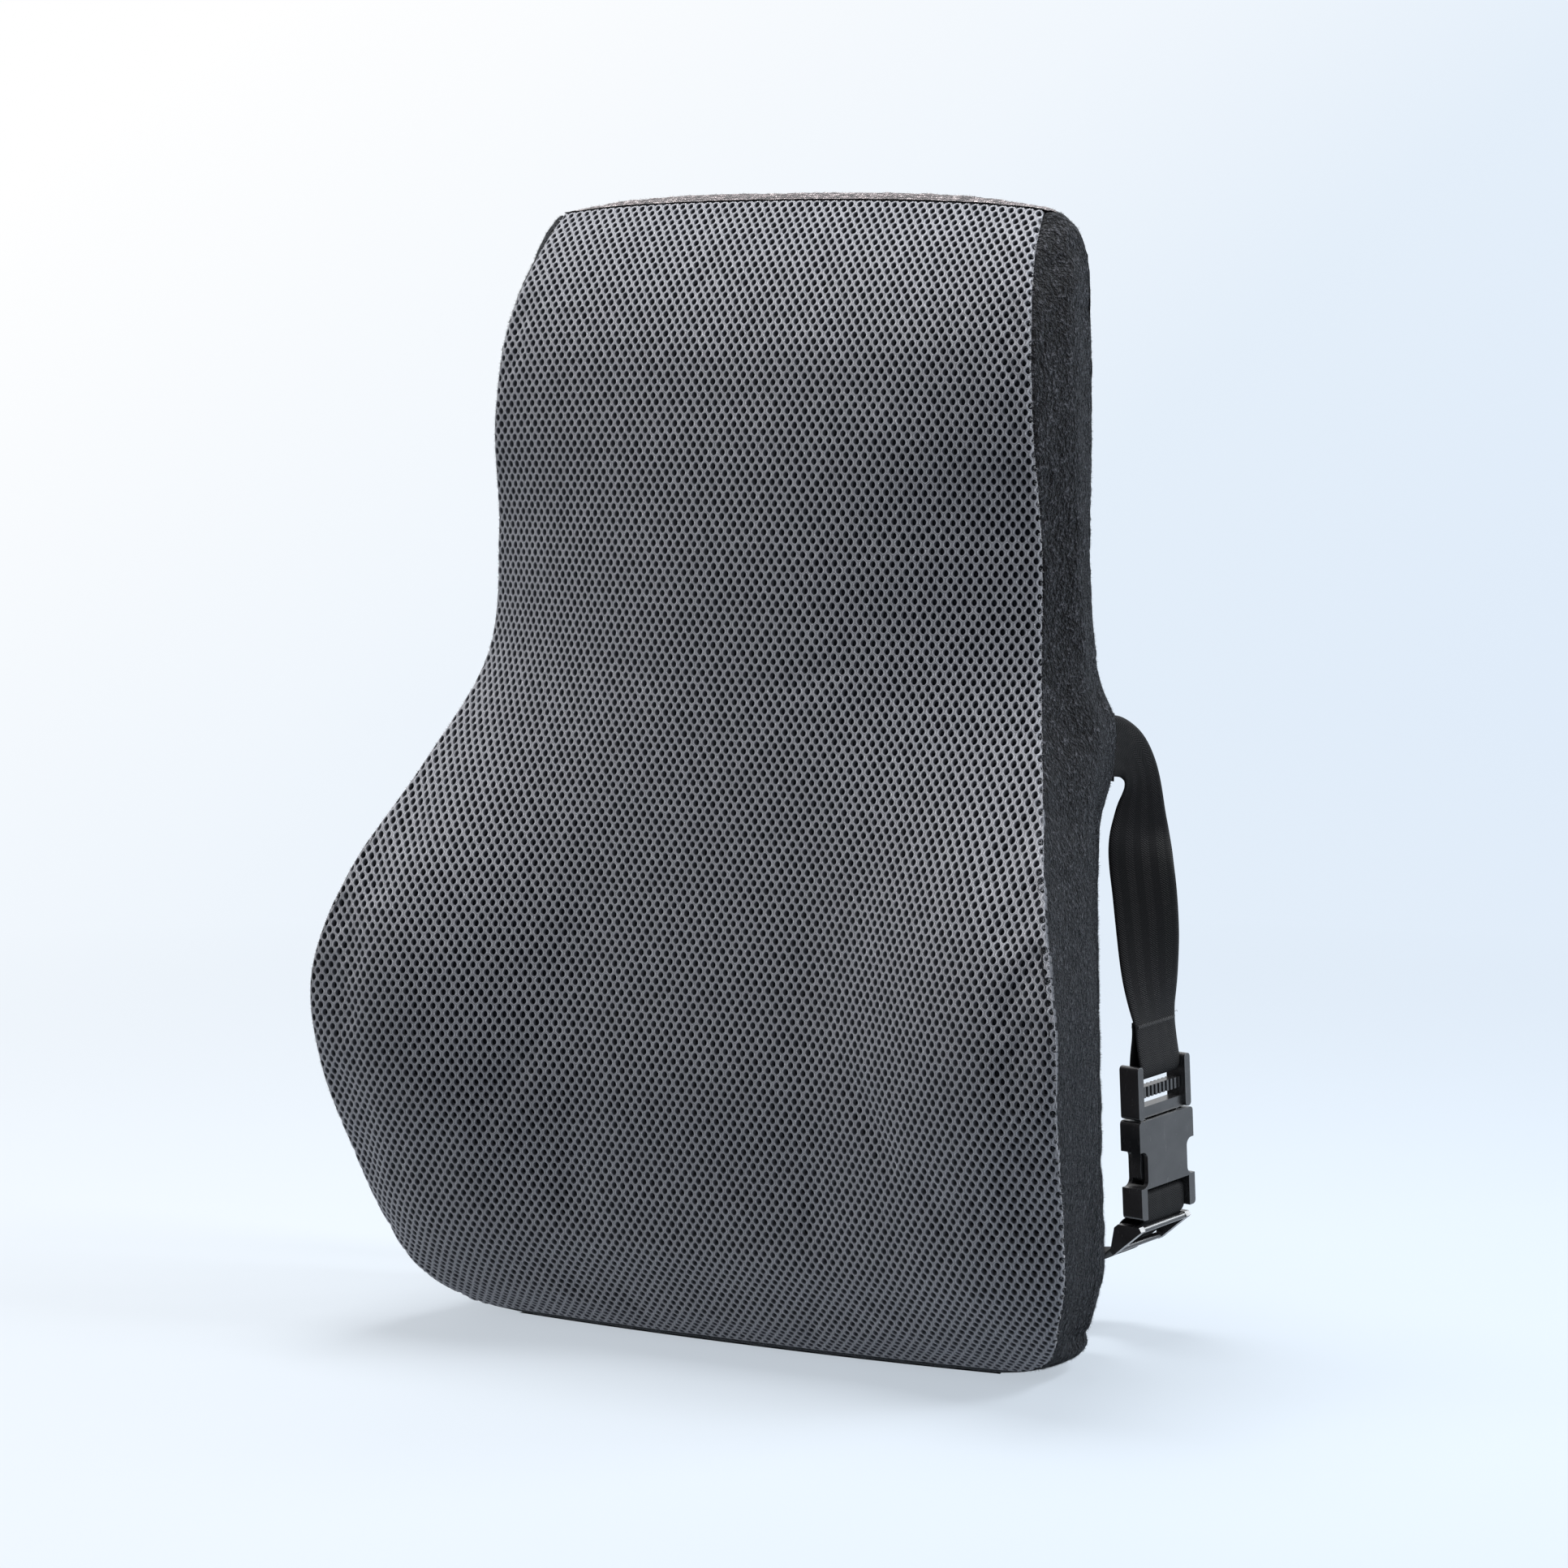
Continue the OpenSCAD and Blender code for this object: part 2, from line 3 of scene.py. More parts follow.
import bmesh
import bpy
import numpy as np
from mathutils import Matrix, Vector


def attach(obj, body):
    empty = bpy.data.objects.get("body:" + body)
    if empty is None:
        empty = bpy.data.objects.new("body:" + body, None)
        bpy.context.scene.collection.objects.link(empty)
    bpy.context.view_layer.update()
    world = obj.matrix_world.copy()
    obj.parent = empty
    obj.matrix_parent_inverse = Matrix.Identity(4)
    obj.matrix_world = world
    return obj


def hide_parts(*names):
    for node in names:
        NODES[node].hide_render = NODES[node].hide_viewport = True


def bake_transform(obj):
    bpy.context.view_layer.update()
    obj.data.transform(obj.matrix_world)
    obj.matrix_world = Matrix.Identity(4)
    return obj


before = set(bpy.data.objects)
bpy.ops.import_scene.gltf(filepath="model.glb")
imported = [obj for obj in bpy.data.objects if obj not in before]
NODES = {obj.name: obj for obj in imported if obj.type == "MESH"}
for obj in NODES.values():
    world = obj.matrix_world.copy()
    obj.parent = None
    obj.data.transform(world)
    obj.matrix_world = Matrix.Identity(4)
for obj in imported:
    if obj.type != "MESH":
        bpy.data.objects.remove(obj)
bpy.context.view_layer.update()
scene = bpy.context.scene
scene.view_settings.view_transform = "Standard"
RNG = np.random.default_rng(11)
MM = 0.001

# ---------------------------------------------------------------- camera
cam_data = bpy.data.cameras.new("camera")
cam = bpy.data.objects.new("camera", cam_data)
scene.collection.objects.link(cam)
cam_data.sensor_width = 36
cam_data.lens = 103.4
cam_data.clip_start = 0.05
cam_data.clip_end = 60
_r = Vector((0.87848, 0.47778, 0)).normalized()
_b = Vector((0.47484, -0.87308, 0.11071)).normalized()
_u = _b.cross(_r).normalized()
_r = _u.cross(_b).normalized()
cam.matrix_world = Matrix(
    (
        (_r.x, _u.x, _b.x, 0.8314),
        (_r.y, _u.y, _b.y, -1.5130),
        (_r.z, _u.z, _b.z, 0.4100),
        (0, 0, 0, 1),
    )
)
scene.camera = cam


# ---------------------------------------------------------------- materials
class Mat:
    """Small helper for node materials."""

    def __init__(self, name):
        self.m = bpy.data.materials.new(name)
        self.m.use_nodes = True
        self.t = self.m.node_tree
        self.b = self.t.nodes["Principled BSDF"]

    def node(self, kind, props=None, **inputs):
        n = self.t.nodes.new(kind)
        for k, v in (props or {}).items():
            setattr(n, k, v)
        for k, v in inputs.items():
            self.put(n, k.replace("_", " "), v)
        return n

    def put(self, n, key, v):
        s = n.inputs[int(key)] if key.isdigit() else n.inputs[key]
        if isinstance(v, bpy.types.NodeSocket):
            self.t.links.new(v, s)
        else:
            s.default_value = v

    def math(self, op, *v):
        n = self.t.nodes.new("ShaderNodeMath")
        n.operation = op
        for i, x in enumerate(v):
            self.put(n, str(i), x)
        return n.outputs[0]

    def ramp(self, fac, stops, interp="LINEAR"):
        n = self.t.nodes.new("ShaderNodeValToRGB")
        n.color_ramp.interpolation = interp
        e = n.color_ramp.elements
        while len(e) < len(stops):
            e.new(0.5)
        for i, (p, c) in enumerate(stops):
            e[i].position = p
            e[i].color = (*c, 1) if len(c) == 3 else c
        self.t.links.new(fac, n.inputs[0])
        return n.outputs[0]

    def grey(self, fac, a, b):
        n = self.t.nodes.new("ShaderNodeMapRange")
        self.t.links.new(fac, n.inputs[0])
        n.inputs[3].default_value = a
        n.inputs[4].default_value = b
        return n.outputs[0]

    def mix(self, fac, a, b, blend="MIX"):
        n = self.t.nodes.new("ShaderNodeMix")
        n.data_type = "RGBA"
        n.blend_type = blend
        for i, x in ((0, fac), (6, a), (7, b)):
            if isinstance(x, bpy.types.NodeSocket):
                self.t.links.new(x, n.inputs[i])
            elif i == 0:
                n.inputs[i].default_value = x
            else:
                n.inputs[i].default_value = (*x, 1)
        return n.outputs[2]

    def coords(self):
        return self.node("ShaderNodeTexCoord").outputs["Object"]

    def uv(self, name):
        n = self.t.nodes.new("ShaderNodeUVMap")
        n.uv_map = name
        return n.outputs[0]

    def noise(self, scale, detail=3.0, rough=0.55, vec=None, out="Fac"):
        n = self.node("ShaderNodeTexNoise", Scale=scale, Detail=detail, Roughness=rough)
        self.t.links.new(vec or self.coords(), n.inputs["Vector"])
        return n.outputs[out]

    def voronoi(self, scale, vec=None, out="Distance", feature="F1"):
        n = self.node("ShaderNodeTexVoronoi", {"feature": feature}, Scale=scale)
        self.t.links.new(vec or self.coords(), n.inputs["Vector"])
        return n.outputs[out]

    def xyz(self, vec):
        n = self.t.nodes.new("ShaderNodeSeparateXYZ")
        self.t.links.new(vec, n.inputs[0])
        return n.outputs

    def vec(self, x, y, z=0.0):
        n = self.t.nodes.new("ShaderNodeCombineXYZ")
        for i, v in enumerate((x, y, z)):
            self.put(n, str(i), v)
        return n.outputs[0]

    def bump(self, height, distance, strength=1.0, normal=None):
        n = self.node("ShaderNodeBump", Strength=strength, Distance=distance, Height=height)
        if normal is not None:
            self.t.links.new(normal, n.inputs["Normal"])
        return n.outputs[0]

    def set(self, **k):
        for key, v in k.items():
            self.put(self.b, key.replace("_", " "), v)


def mat_mesh():
    m = Mat("spacer_mesh_knit")
    y = m.xyz(m.uv("yarn"))
    ring = m.math("DIVIDE", y[1], 3.0)
    # painted shade: the yarn darkens with depth, from the raised ridge round each hole into the groove between cells,
    # and down the hole walls to near black
    base = m.ramp(
        ring,
        [
            (0.0, (0.075, 0.077, 0.088)),
            (0.10, (0.130, 0.132, 0.145)),
            (0.30, (0.235, 0.238, 0.258)),
            (0.46, (0.185, 0.188, 0.207)),
            (0.60, (0.070, 0.072, 0.086)),
            (0.74, (0.012, 0.013, 0.019)),
            (1.0, (0.003, 0.0035, 0.006)),
        ],
    )
    # twisted filaments: slanted strokes along the yarn
    slant = m.math("ADD", m.math("MULTIPLY", y[0], 2.6), m.math("MULTIPLY", y[1], 1.3))
    stroke = m.math("SINE", m.math("MULTIPLY", slant, 6.2832))
    strokes = m.grey(stroke, 0.68, 1.30)
    m_fil = m.noise(2600, 2, 0.6)
    fil = m.grey(m_fil, 0.55, 1.5)
    broad = m.grey(m.noise(28, 2, 0.5), 0.90, 1.10)
    k = m.math("MULTIPLY", m.math("MULTIPLY", strokes, fil), broad)
    kk = m.vec(k, k, k)
    col = m.mix(1.0, base, kk, "MULTIPLY")
    # painted glints: noise specks on the raised yarn tops, mixed towards light grey
    glint = m.ramp(m.noise(1500, 1, 0.5), [(0.60, (0, 0, 0)), (0.74, (1, 1, 1))])
    on_top = m.ramp(ring, [(0.12, (0, 0, 0)), (0.25, (1, 1, 1)), (0.45, (1, 1, 1)), (0.6, (0, 0, 0))])
    g = m.mix(1.0, glint, on_top, "MULTIPLY")
    col = m.mix(m.math("MULTIPLY", m.xyz(g)[0], 0.55), col, (0.50, 0.51, 0.54))
    m.set(Base_Color=col, Roughness=m.grey(m_fil, 0.55, 0.85), Sheen_Weight=0.25, Sheen_Roughness=0.45, Specular_IOR_Level=0.45)
    m.b.inputs["Sheen Tint"].default_value = (0.85, 0.9, 1, 1)
    h = m.math("ADD", m.math("MULTIPLY", stroke, 0.5), m.math("MULTIPLY", m_fil, 1.2))
    m.set(Normal=m.bump(h, 0.00012, 0.8))
    return m.m


def mat_plush():
    m = Mat("plush_nap")
    # bumps are rounded with fades, so each noise uses most of its range
    fine = m.grey(m.ramp(m.noise(1500, 2, 0.6), [(0.36, (0, 0, 0)), (0.64, (1, 1, 1))]), 0.0, 1.0)
    mid = m.grey(m.ramp(m.noise(820, 2, 0.55), [(0.36, (0, 0, 0)), (0.64, (1, 1, 1))]), 0.0, 1.0)
    soft = m.grey(m.ramp(m.noise(330, 2, 0.5), [(0.34, (0, 0, 0)), (0.66, (1, 1, 1))]), 0.0, 1.0)
    big = m.noise(38, 3, 0.55)
    f = m.math("ADD", m.math("ADD", m.math("MULTIPLY", fine, 0.22), m.math("MULTIPLY", mid, 0.42)), m.math("ADD", m.math("MULTIPLY", soft, 0.22), m.math("MULTIPLY", big, 0.14)))
    col = m.ramp(f, [(0.18, (0.0005, 0.0005, 0.0007)), (0.44, (0.0018, 0.0019, 0.0025)), (0.57, (0.0050, 0.0052, 0.0066)), (0.70, (0.018, 0.0184, 0.022)), (0.86, (0.060, 0.061, 0.069))])
    m.set(Base_Color=col, Roughness=m.grey(fine, 0.72, 0.95), Sheen_Weight=0.065, Sheen_Roughness=0.22, Specular_IOR_Level=0.12)
    m.b.inputs["Sheen Tint"].default_value = (0.74, 0.86, 1, 1)
    h = m.math("ADD", m.math("MULTIPLY", fine, 0.35), m.math("ADD", m.math("MULTIPLY", mid, 0.7), m.math("MULTIPLY", soft, 0.8)))
    m.set(Normal=m.bump(h, 0.0011, 1.0))
    return m.m


def mat_back():
    m = Mat("coarse_knit")
    uv = m.xyz(m.uv("cloth"))
    # rows of knit loops: 2.0 mm wales, 1.5 mm courses
    wx = m.math("MULTIPLY", uv[0], 1 / 2.0)
    wy = m.math("MULTIPLY", uv[1], 1 / 1.5)
    fx = m.math("ABSOLUTE", m.math("SUBTRACT", m.math("FRACT", wx), 0.5))
    v = m.math("FRACT", m.math("ADD", wy, m.math("MULTIPLY", fx, 0.9)))
    loop = m.math("MULTIPLY", m.math("SINE", m.math("MULTIPLY", v, 3.1416)), m.math("SINE", m.math("MULTIPLY", m.math("MULTIPLY", fx, 2), 3.1416)))
    cell = m.noise(620, 2, 0.6)
    s = m.xyz(m.noise(760, 2, 0.65, out="Color"))
    t = m.xyz(m.noise(340, 2, 0.5, out="Color"))
    speck = m.math("ADD", m.math("MULTIPLY", s[0], 0.7), m.math("MULTIPLY", t[1], 0.3))
    warm = m.ramp(speck, [(0.40, (0.012, 0.010, 0.012)), (0.48, (0.060, 0.048, 0.052)), (0.55, (0.16, 0.130, 0.136)), (0.63, (0.46, 0.41, 0.41))])
    # painted shade between the knit loops, and a slight painted highlight on their tops
    shade = m.grey(loop, 0.35, 1.15)
    col = m.mix(1.0, warm, m.vec(shade, shade, shade), "MULTIPLY")
    col = m.mix(m.grey(m.noise(30, 2), 0.0, 0.15), col, (0.09, 0.085, 0.092))
    m.set(Base_Color=col, Roughness=m.grey(cell, 0.72, 0.95), Sheen_Weight=0.15, Sheen_Roughness=0.5, Specular_IOR_Level=0.3)
    h = m.math("ADD", m.math("MULTIPLY", loop, 1.0), m.math("ADD", m.math("MULTIPLY", cell, 0.6), m.math("MULTIPLY", speck, 1.2)))
    m.set(Normal=m.bump(h, 0.0008, 1.0))
    return m.m


def mat_liner():
    m = Mat("liner_cloth")
    f = m.noise(900, 3, 0.6)
    col = m.ramp(f, [(0.35, (0.004, 0.005, 0.008)), (0.65, (0.014, 0.016, 0.024))])
    m.set(Base_Color=col, Roughness=m.grey(f, 0.8, 0.95), Specular_IOR_Level=0.2, Normal=m.bump(f, 0.0002, 0.6))
    return m.m


def mat_webbing():
    m = Mat("webbing_herringbone")
    uv = m.xyz(m.uv("cloth"))
    # herringbone: slanted ribs that turn every 3.1 mm across the width
    band = m.math("PINGPONG", uv[1], 3.1)
    d = m.math("ADD", m.math("MULTIPLY", uv[0], 1.25), band)
    rib = m.math("SINE", m.math("MULTIPLY", d, 6.2832 / 1.15))
    cross = m.math("SINE", m.math("MULTIPLY", uv[0], 6.2832 / 0.9))
    fil = m.noise(2200, 2, 0.6)
    col = m.ramp(m.math("ADD", m.math("MULTIPLY", m.grey(rib, 0, 1), 0.6), m.math("MULTIPLY", fil, 0.5)), [(0.25, (0.0008, 0.0008, 0.001)), (0.7, (0.0042, 0.0042, 0.0047)), (1.0, (0.013, 0.013, 0.014))])
    # painted highlight: lighter brownish-grey patches at random over the webbing
    painted_highlight = m.ramp(m.noise(160, 3, 0.6), [(0.62, (0, 0, 0)), (0.75, (1, 1, 1))])
    col = m.mix(m.math("MULTIPLY", m.xyz(painted_highlight)[0], 0.25), col, (0.020, 0.018, 0.017))
    m.set(Base_Color=col, Roughness=m.grey(fil, 0.55, 0.8), Sheen_Weight=0.0, Specular_IOR_Level=0.16)
    h = m.math("ADD", rib, m.math("ADD", m.math("MULTIPLY", cross, 0.35), m.math("MULTIPLY", fil, 0.6)))
    m.set(Normal=m.bump(h, 0.00016, 0.5))
    return m.m


def mat_thread(name, a, b):
    m = Mat(name)
    f = m.noise(3000, 2, 0.6)
    col = m.ramp(f, [(0.3, a), (0.7, b)])
    m.set(Base_Color=col, Roughness=m.grey(f, 0.5, 0.75), Sheen_Weight=0.2, Normal=m.bump(f, 0.0001, 0.7))
    return m.m


def mat_plastic(name, dark, light, rough):
    m = Mat(name)
    grain = m.noise(3800, 2, 0.5)
    cloud = m.noise(90, 3, 0.6)
    # fine scuffs: stretched noise, kept to its peaks
    mp = m.node("ShaderNodeMapping", Scale=(900, 900, 120))
    m.t.links.new(m.coords(), mp.inputs["Vector"])
    sc = m.noise(1.0, 3, 0.7, vec=mp.outputs[0])
    scuff = m.ramp(sc, [(0.64, (0, 0, 0)), (0.72, (1, 1, 1))])
    sx = m.xyz(scuff)[0]
    col = m.ramp(cloud, [(0.3, dark), (0.7, light)])
    col = m.mix(m.math("MULTIPLY", sx, 0.30), col, tuple(min(1, 2.4 * c) for c in light))
    m.set(Base_Color=col, Roughness=m.math("ADD", m.grey(cloud, rough - 0.05, rough + 0.07), m.math("MULTIPLY", sx, 0.15)), Specular_IOR_Level=0.5)
    m.set(Normal=m.bump(m.math("ADD", grain, m.math("MULTIPLY", sx, -0.3)), 0.00006, 0.55))
    return m.m


def mat_tape():
    m = Mat("zip_tape_weave")
    c = m.xyz(m.coords())
    a = m.math("SINE", m.math("MULTIPLY", c[0], 6.2832 / 0.0008))
    b = m.math("SINE", m.math("MULTIPLY", c[2], 6.2832 / 0.0006))
    w = m.math("MULTIPLY", a, b)
    f = m.noise(1800, 2)
    col = m.ramp(m.math("ADD", m.grey(w, 0.2, 0.7), m.math("MULTIPLY", f, 0.3)), [(0.2, (0.008, 0.008, 0.009)), (0.9, (0.035, 0.035, 0.038))])
    m.set(Base_Color=col, Roughness=m.grey(f, 0.7, 0.9), Normal=m.bump(w, 0.00015, 0.8))
    return m.m


def mat_floor():
    m = Mat("studio_floor_glow")
    c = m.xyz(m.coords())
    r2 = m.math("SQRT", m.math("ADD", m.math("MULTIPLY", c[0], c[0]), m.math("MULTIPLY", c[1], c[1])))
    side = m.math("ADD", m.math("MULTIPLY", c[0], -0.30), m.math("MULTIPLY", c[1], -0.165))
    t = m.math("ADD", m.math("ADD", 0.44, side), m.math("MULTIPLY", c[2], 0.42))
    # the colour runs from pale blue towards +x and +y and low down, to white towards -x and -y and up the wall
    floor_gradient = m.ramp(t, [(0.0, (0.72, 0.82, 0.95)), (0.40, (0.775, 0.86, 0.955)), (0.60, (0.88, 0.93, 0.985)), (0.95, (1.0, 1.0, 1.0))])
    f = m.noise(3, 2)
    shade = m.grey(f, 0.33, 0.35)
    m.set(Base_Color=m.mix(1.0, floor_gradient, m.vec(shade, shade, shade), "MULTIPLY"), Roughness=m.grey(f, 0.62, 0.68), Specular_IOR_Level=0.15)
    # painted light: the floor glows by emission in its own colour, 60 % of it near the object rising to all of it from
    # about 1.2 m out, which also softens the shadows cast on it
    em = m.node("ShaderNodeEmission", Strength=1.0)
    m.t.links.new(floor_gradient, em.inputs["Color"])
    mx = m.t.nodes.new("ShaderNodeMixShader")
    m.t.links.new(m.grey(m.math("DIVIDE", m.math("SUBTRACT", r2, 0.3), 0.9), 0.60, 1.0), mx.inputs[0])
    m.t.links.new(m.b.outputs[0], mx.inputs[1])
    m.t.links.new(em.outputs[0], mx.inputs[2])
    out = [n for n in m.t.nodes if n.type == "OUTPUT_MATERIAL"][0]
    m.t.links.new(mx.outputs[0], out.inputs[0])
    return m.m


M_MESH, M_PLUSH, M_BACK, M_LINER = mat_mesh(), mat_plush(), mat_back(), mat_liner()
M_WEB = mat_webbing()
M_THREAD = mat_thread("thread_black", (0.012, 0.012, 0.014), (0.05, 0.05, 0.055))
M_THREAD_D = mat_thread("thread_dark", (0.0030, 0.0030, 0.0034), (0.010, 0.010, 0.011))
M_THREAD_G = mat_thread("thread_grey", (0.16, 0.155, 0.16), (0.42, 0.41, 0.42))
M_TUFT = mat_thread("cut_yarn", (0.20, 0.205, 0.22), (0.62, 0.63, 0.66))
M_BUCKLE = mat_plastic("buckle_plastic", (0.008, 0.008, 0.0085), (0.020, 0.020, 0.021), 0.22)
M_BUCKLE.node_tree.nodes["Principled BSDF"].inputs["Specular IOR Level"].default_value = 0.78
M_ZIP = mat_plastic("zip_plastic", (0.008, 0.008, 0.009), (0.02, 0.02, 0.022), 0.38)
M_TAPE = mat_tape()


# ---------------------------------------------------------------- helpers
def add_mesh(name, verts, faces, mat, uvs=None, smooth=True):
    """verts in metres (n,3), faces (m,k) array or list of lists; uvs = {layer: per-loop (l,2) array}."""
    me = bpy.data.meshes.new(name)
    verts = np.asarray(verts, np.float32)
    if isinstance(faces, np.ndarray):
        k = faces.shape[1]
        nf = len(faces)
        me.vertices.add(len(verts))
        me.vertices.foreach_set("co", verts.ravel())
        me.loops.add(nf * k)
        me.loops.foreach_set("vertex_index", faces.astype(np.int32).ravel())
        me.polygons.add(nf)
        me.polygons.foreach_set("loop_start", np.arange(0, nf * k, k, dtype=np.int32))
        me.update(calc_edges=True)
    else:
        me.from_pydata([tuple(v) for v in verts], [], [list(f) for f in faces])
    for layer, data in (uvs or {}).items():
        u = me.uv_layers.new(name=layer)
        u.data.foreach_set("uv", np.asarray(data, np.float32).ravel())
    me.polygons.foreach_set("use_smooth", np.full(len(me.polygons), smooth))
    me.materials.append(mat)
    me.validate(clean_customdata=False)
    me.update()
    o = bpy.data.objects.new(name, me)
    scene.collection.objects.link(o)
    return o


def grid_faces(nv, nu, close_u=False, flip=False):
    j, i = np.meshgrid(np.arange(nv - 1), np.arange(nu if close_u else nu - 1), indexing="ij")
    a = j * nu + i
    b = j * nu + (i + 1) % nu
    f = np.stack([a, b, b + nu, a + nu], -1).reshape(-1, 4)
    return f[:, ::-1].copy() if flip else f


def unit(v):
    return v / np.maximum(np.linalg.norm(v, axis=-1, keepdims=True), 1e-12)


# ---------------------------------------------------------------- cushion form
ST = np.array([
    [0, 107, 57, 0, 5, 0], [3, 120.5, 63, 0, 5, 1], [8, 130.5, 68, 0, 4, 2], [16, 138.4, 76, 1, 3, 3],
    [26, 143.4, 84, 3, 2, 6], [38, 148, 92, 5, 0, 13], [72, 155, 96, 24 * 0.58, 0, 10],
    [107, 159, 99, 24 * 0.83, 0, 4], [142, 160, 96, 24, 0, 1], [182, 150, 90, 24 * 0.7, 0, 0],
    [222, 135, 83, 2.4, 8, 0], [262, 122, 76, 0, 24, 1], [312, 119, 69, 0, 22, 2],
    [362, 117, 60, 0, 8, 2], [402, 113, 48, 0, 3, 2], [427, 108, 31, 0, 1, 1], [442, 105, 19, 0, 3, 0],
], float)
BT = np.array([
    [0, 98, 14], [3, 109, 8], [8, 117, 4], [16, 122, 1], [26, 125, 0], [80, 125, 0], [210, 125, 0],
    [235, 127, 0], [262, 123, 0], [300, 120, 0], [362, 120, 0], [402, 119, 0], [427, 117, 1], [436, 113.5, 2.5], [442, 106, 5],
], float)


def curve(T, c, z):
    x, y = T[:, 0], T[:, c]
    h = np.diff(x)
    d = np.diff(y) / h
    m = np.empty(len(x))
    m[0], m[-1] = d[0], d[-1]
    m[1:-1] = (d[:-1] * h[1:] + d[1:] * h[:-1]) / (h[:-1] + h[1:])
    z = np.asarray(z, float)
    i = np.clip(np.searchsorted(x, z, side="right") - 1, 0, len(x) - 2)
    t = (z - x[i]) / h[i]
    return (
        (2 * t**3 - 3 * t * t + 1) * y[i]
        + (t**3 - 2 * t * t + t) * m[i] * h[i]
        + (3 * t * t - 2 * t**3) * y[i + 1]
        + (t**3 - t * t) * m[i + 1] * h[i]
    )


def step01(a, b, x):
    t = np.clip((x - a) / (b - a), 0, 1)
    return t * t * (3 - 2 * t)


def droop(s, z):
    return (3 * s * s + 1.5 * s**6) * (z / 442) ** 4


def front_pt(s, z):
    s, z = np.broadcast_arrays(np.asarray(s, float), np.asarray(z, float))
    a = np.abs(s)
    reach = curve(ST, 2, z) + curve(ST, 3, z) * step01(0.28, 0.84, a) - curve(ST, 4, z) * a**2.2 - curve(ST, 5, z) * a**8
    return np.stack([s * curve(ST, 1, z), 42 - reach, z - droop(s, z)], -1)


def back_pt(q, z):
    q, z = np.broadcast_arrays(np.asarray(q, float), np.asarray(z, float))
    w = curve(BT, 1, z)
    a = np.abs(q)
    y = 40 - curve(BT, 2, z) + 5 * (1 - a**4) * step01(0, 30, z) * (1 - step01(404, 446, z))
    return np.stack([q * w, y, z - droop(1.0, z) + (1 - a**4) * 4 * (z / 442) ** 8], -1)


def side_pt(t, z, sg):
    t, z = np.broadcast_arrays(np.asarray(t, float), np.asarray(z, float))
    a, b = front_pt(float(sg), z), back_pt(float(sg), z)
    p = a + (b - a) * t[..., None]
    p[..., 0] += sg * np.sin(np.pi * t) * (3.5 * step01(0, 20, z) + 9 * step01(0, 3, z) * (1 - step01(6, 16, z)))
    return p


ZT = np.unique(np.concatenate([np.arange(0, 30, 0.5), np.arange(30, 410, 1.0), np.arange(410, 442.01, 0.5)]))
SG = {
    "front": np.linspace(-1, 1, 401),
    "right": np.linspace(0, 1, 81),
    "back": np.linspace(-1, 1, 241),
    "left": np.linspace(0, 1, 81),
}
FORM = {
    "front": front_pt,
    "right": lambda t, z: side_pt(t, z, 1),
    "back": back_pt,
    "left": lambda t, z: side_pt(t, z, -1),
}


# ---------------------------------------------------------------- cloth simulation of the cover
SIM_PRESSURE, SIM_SHRINK = 2.0, -0.003


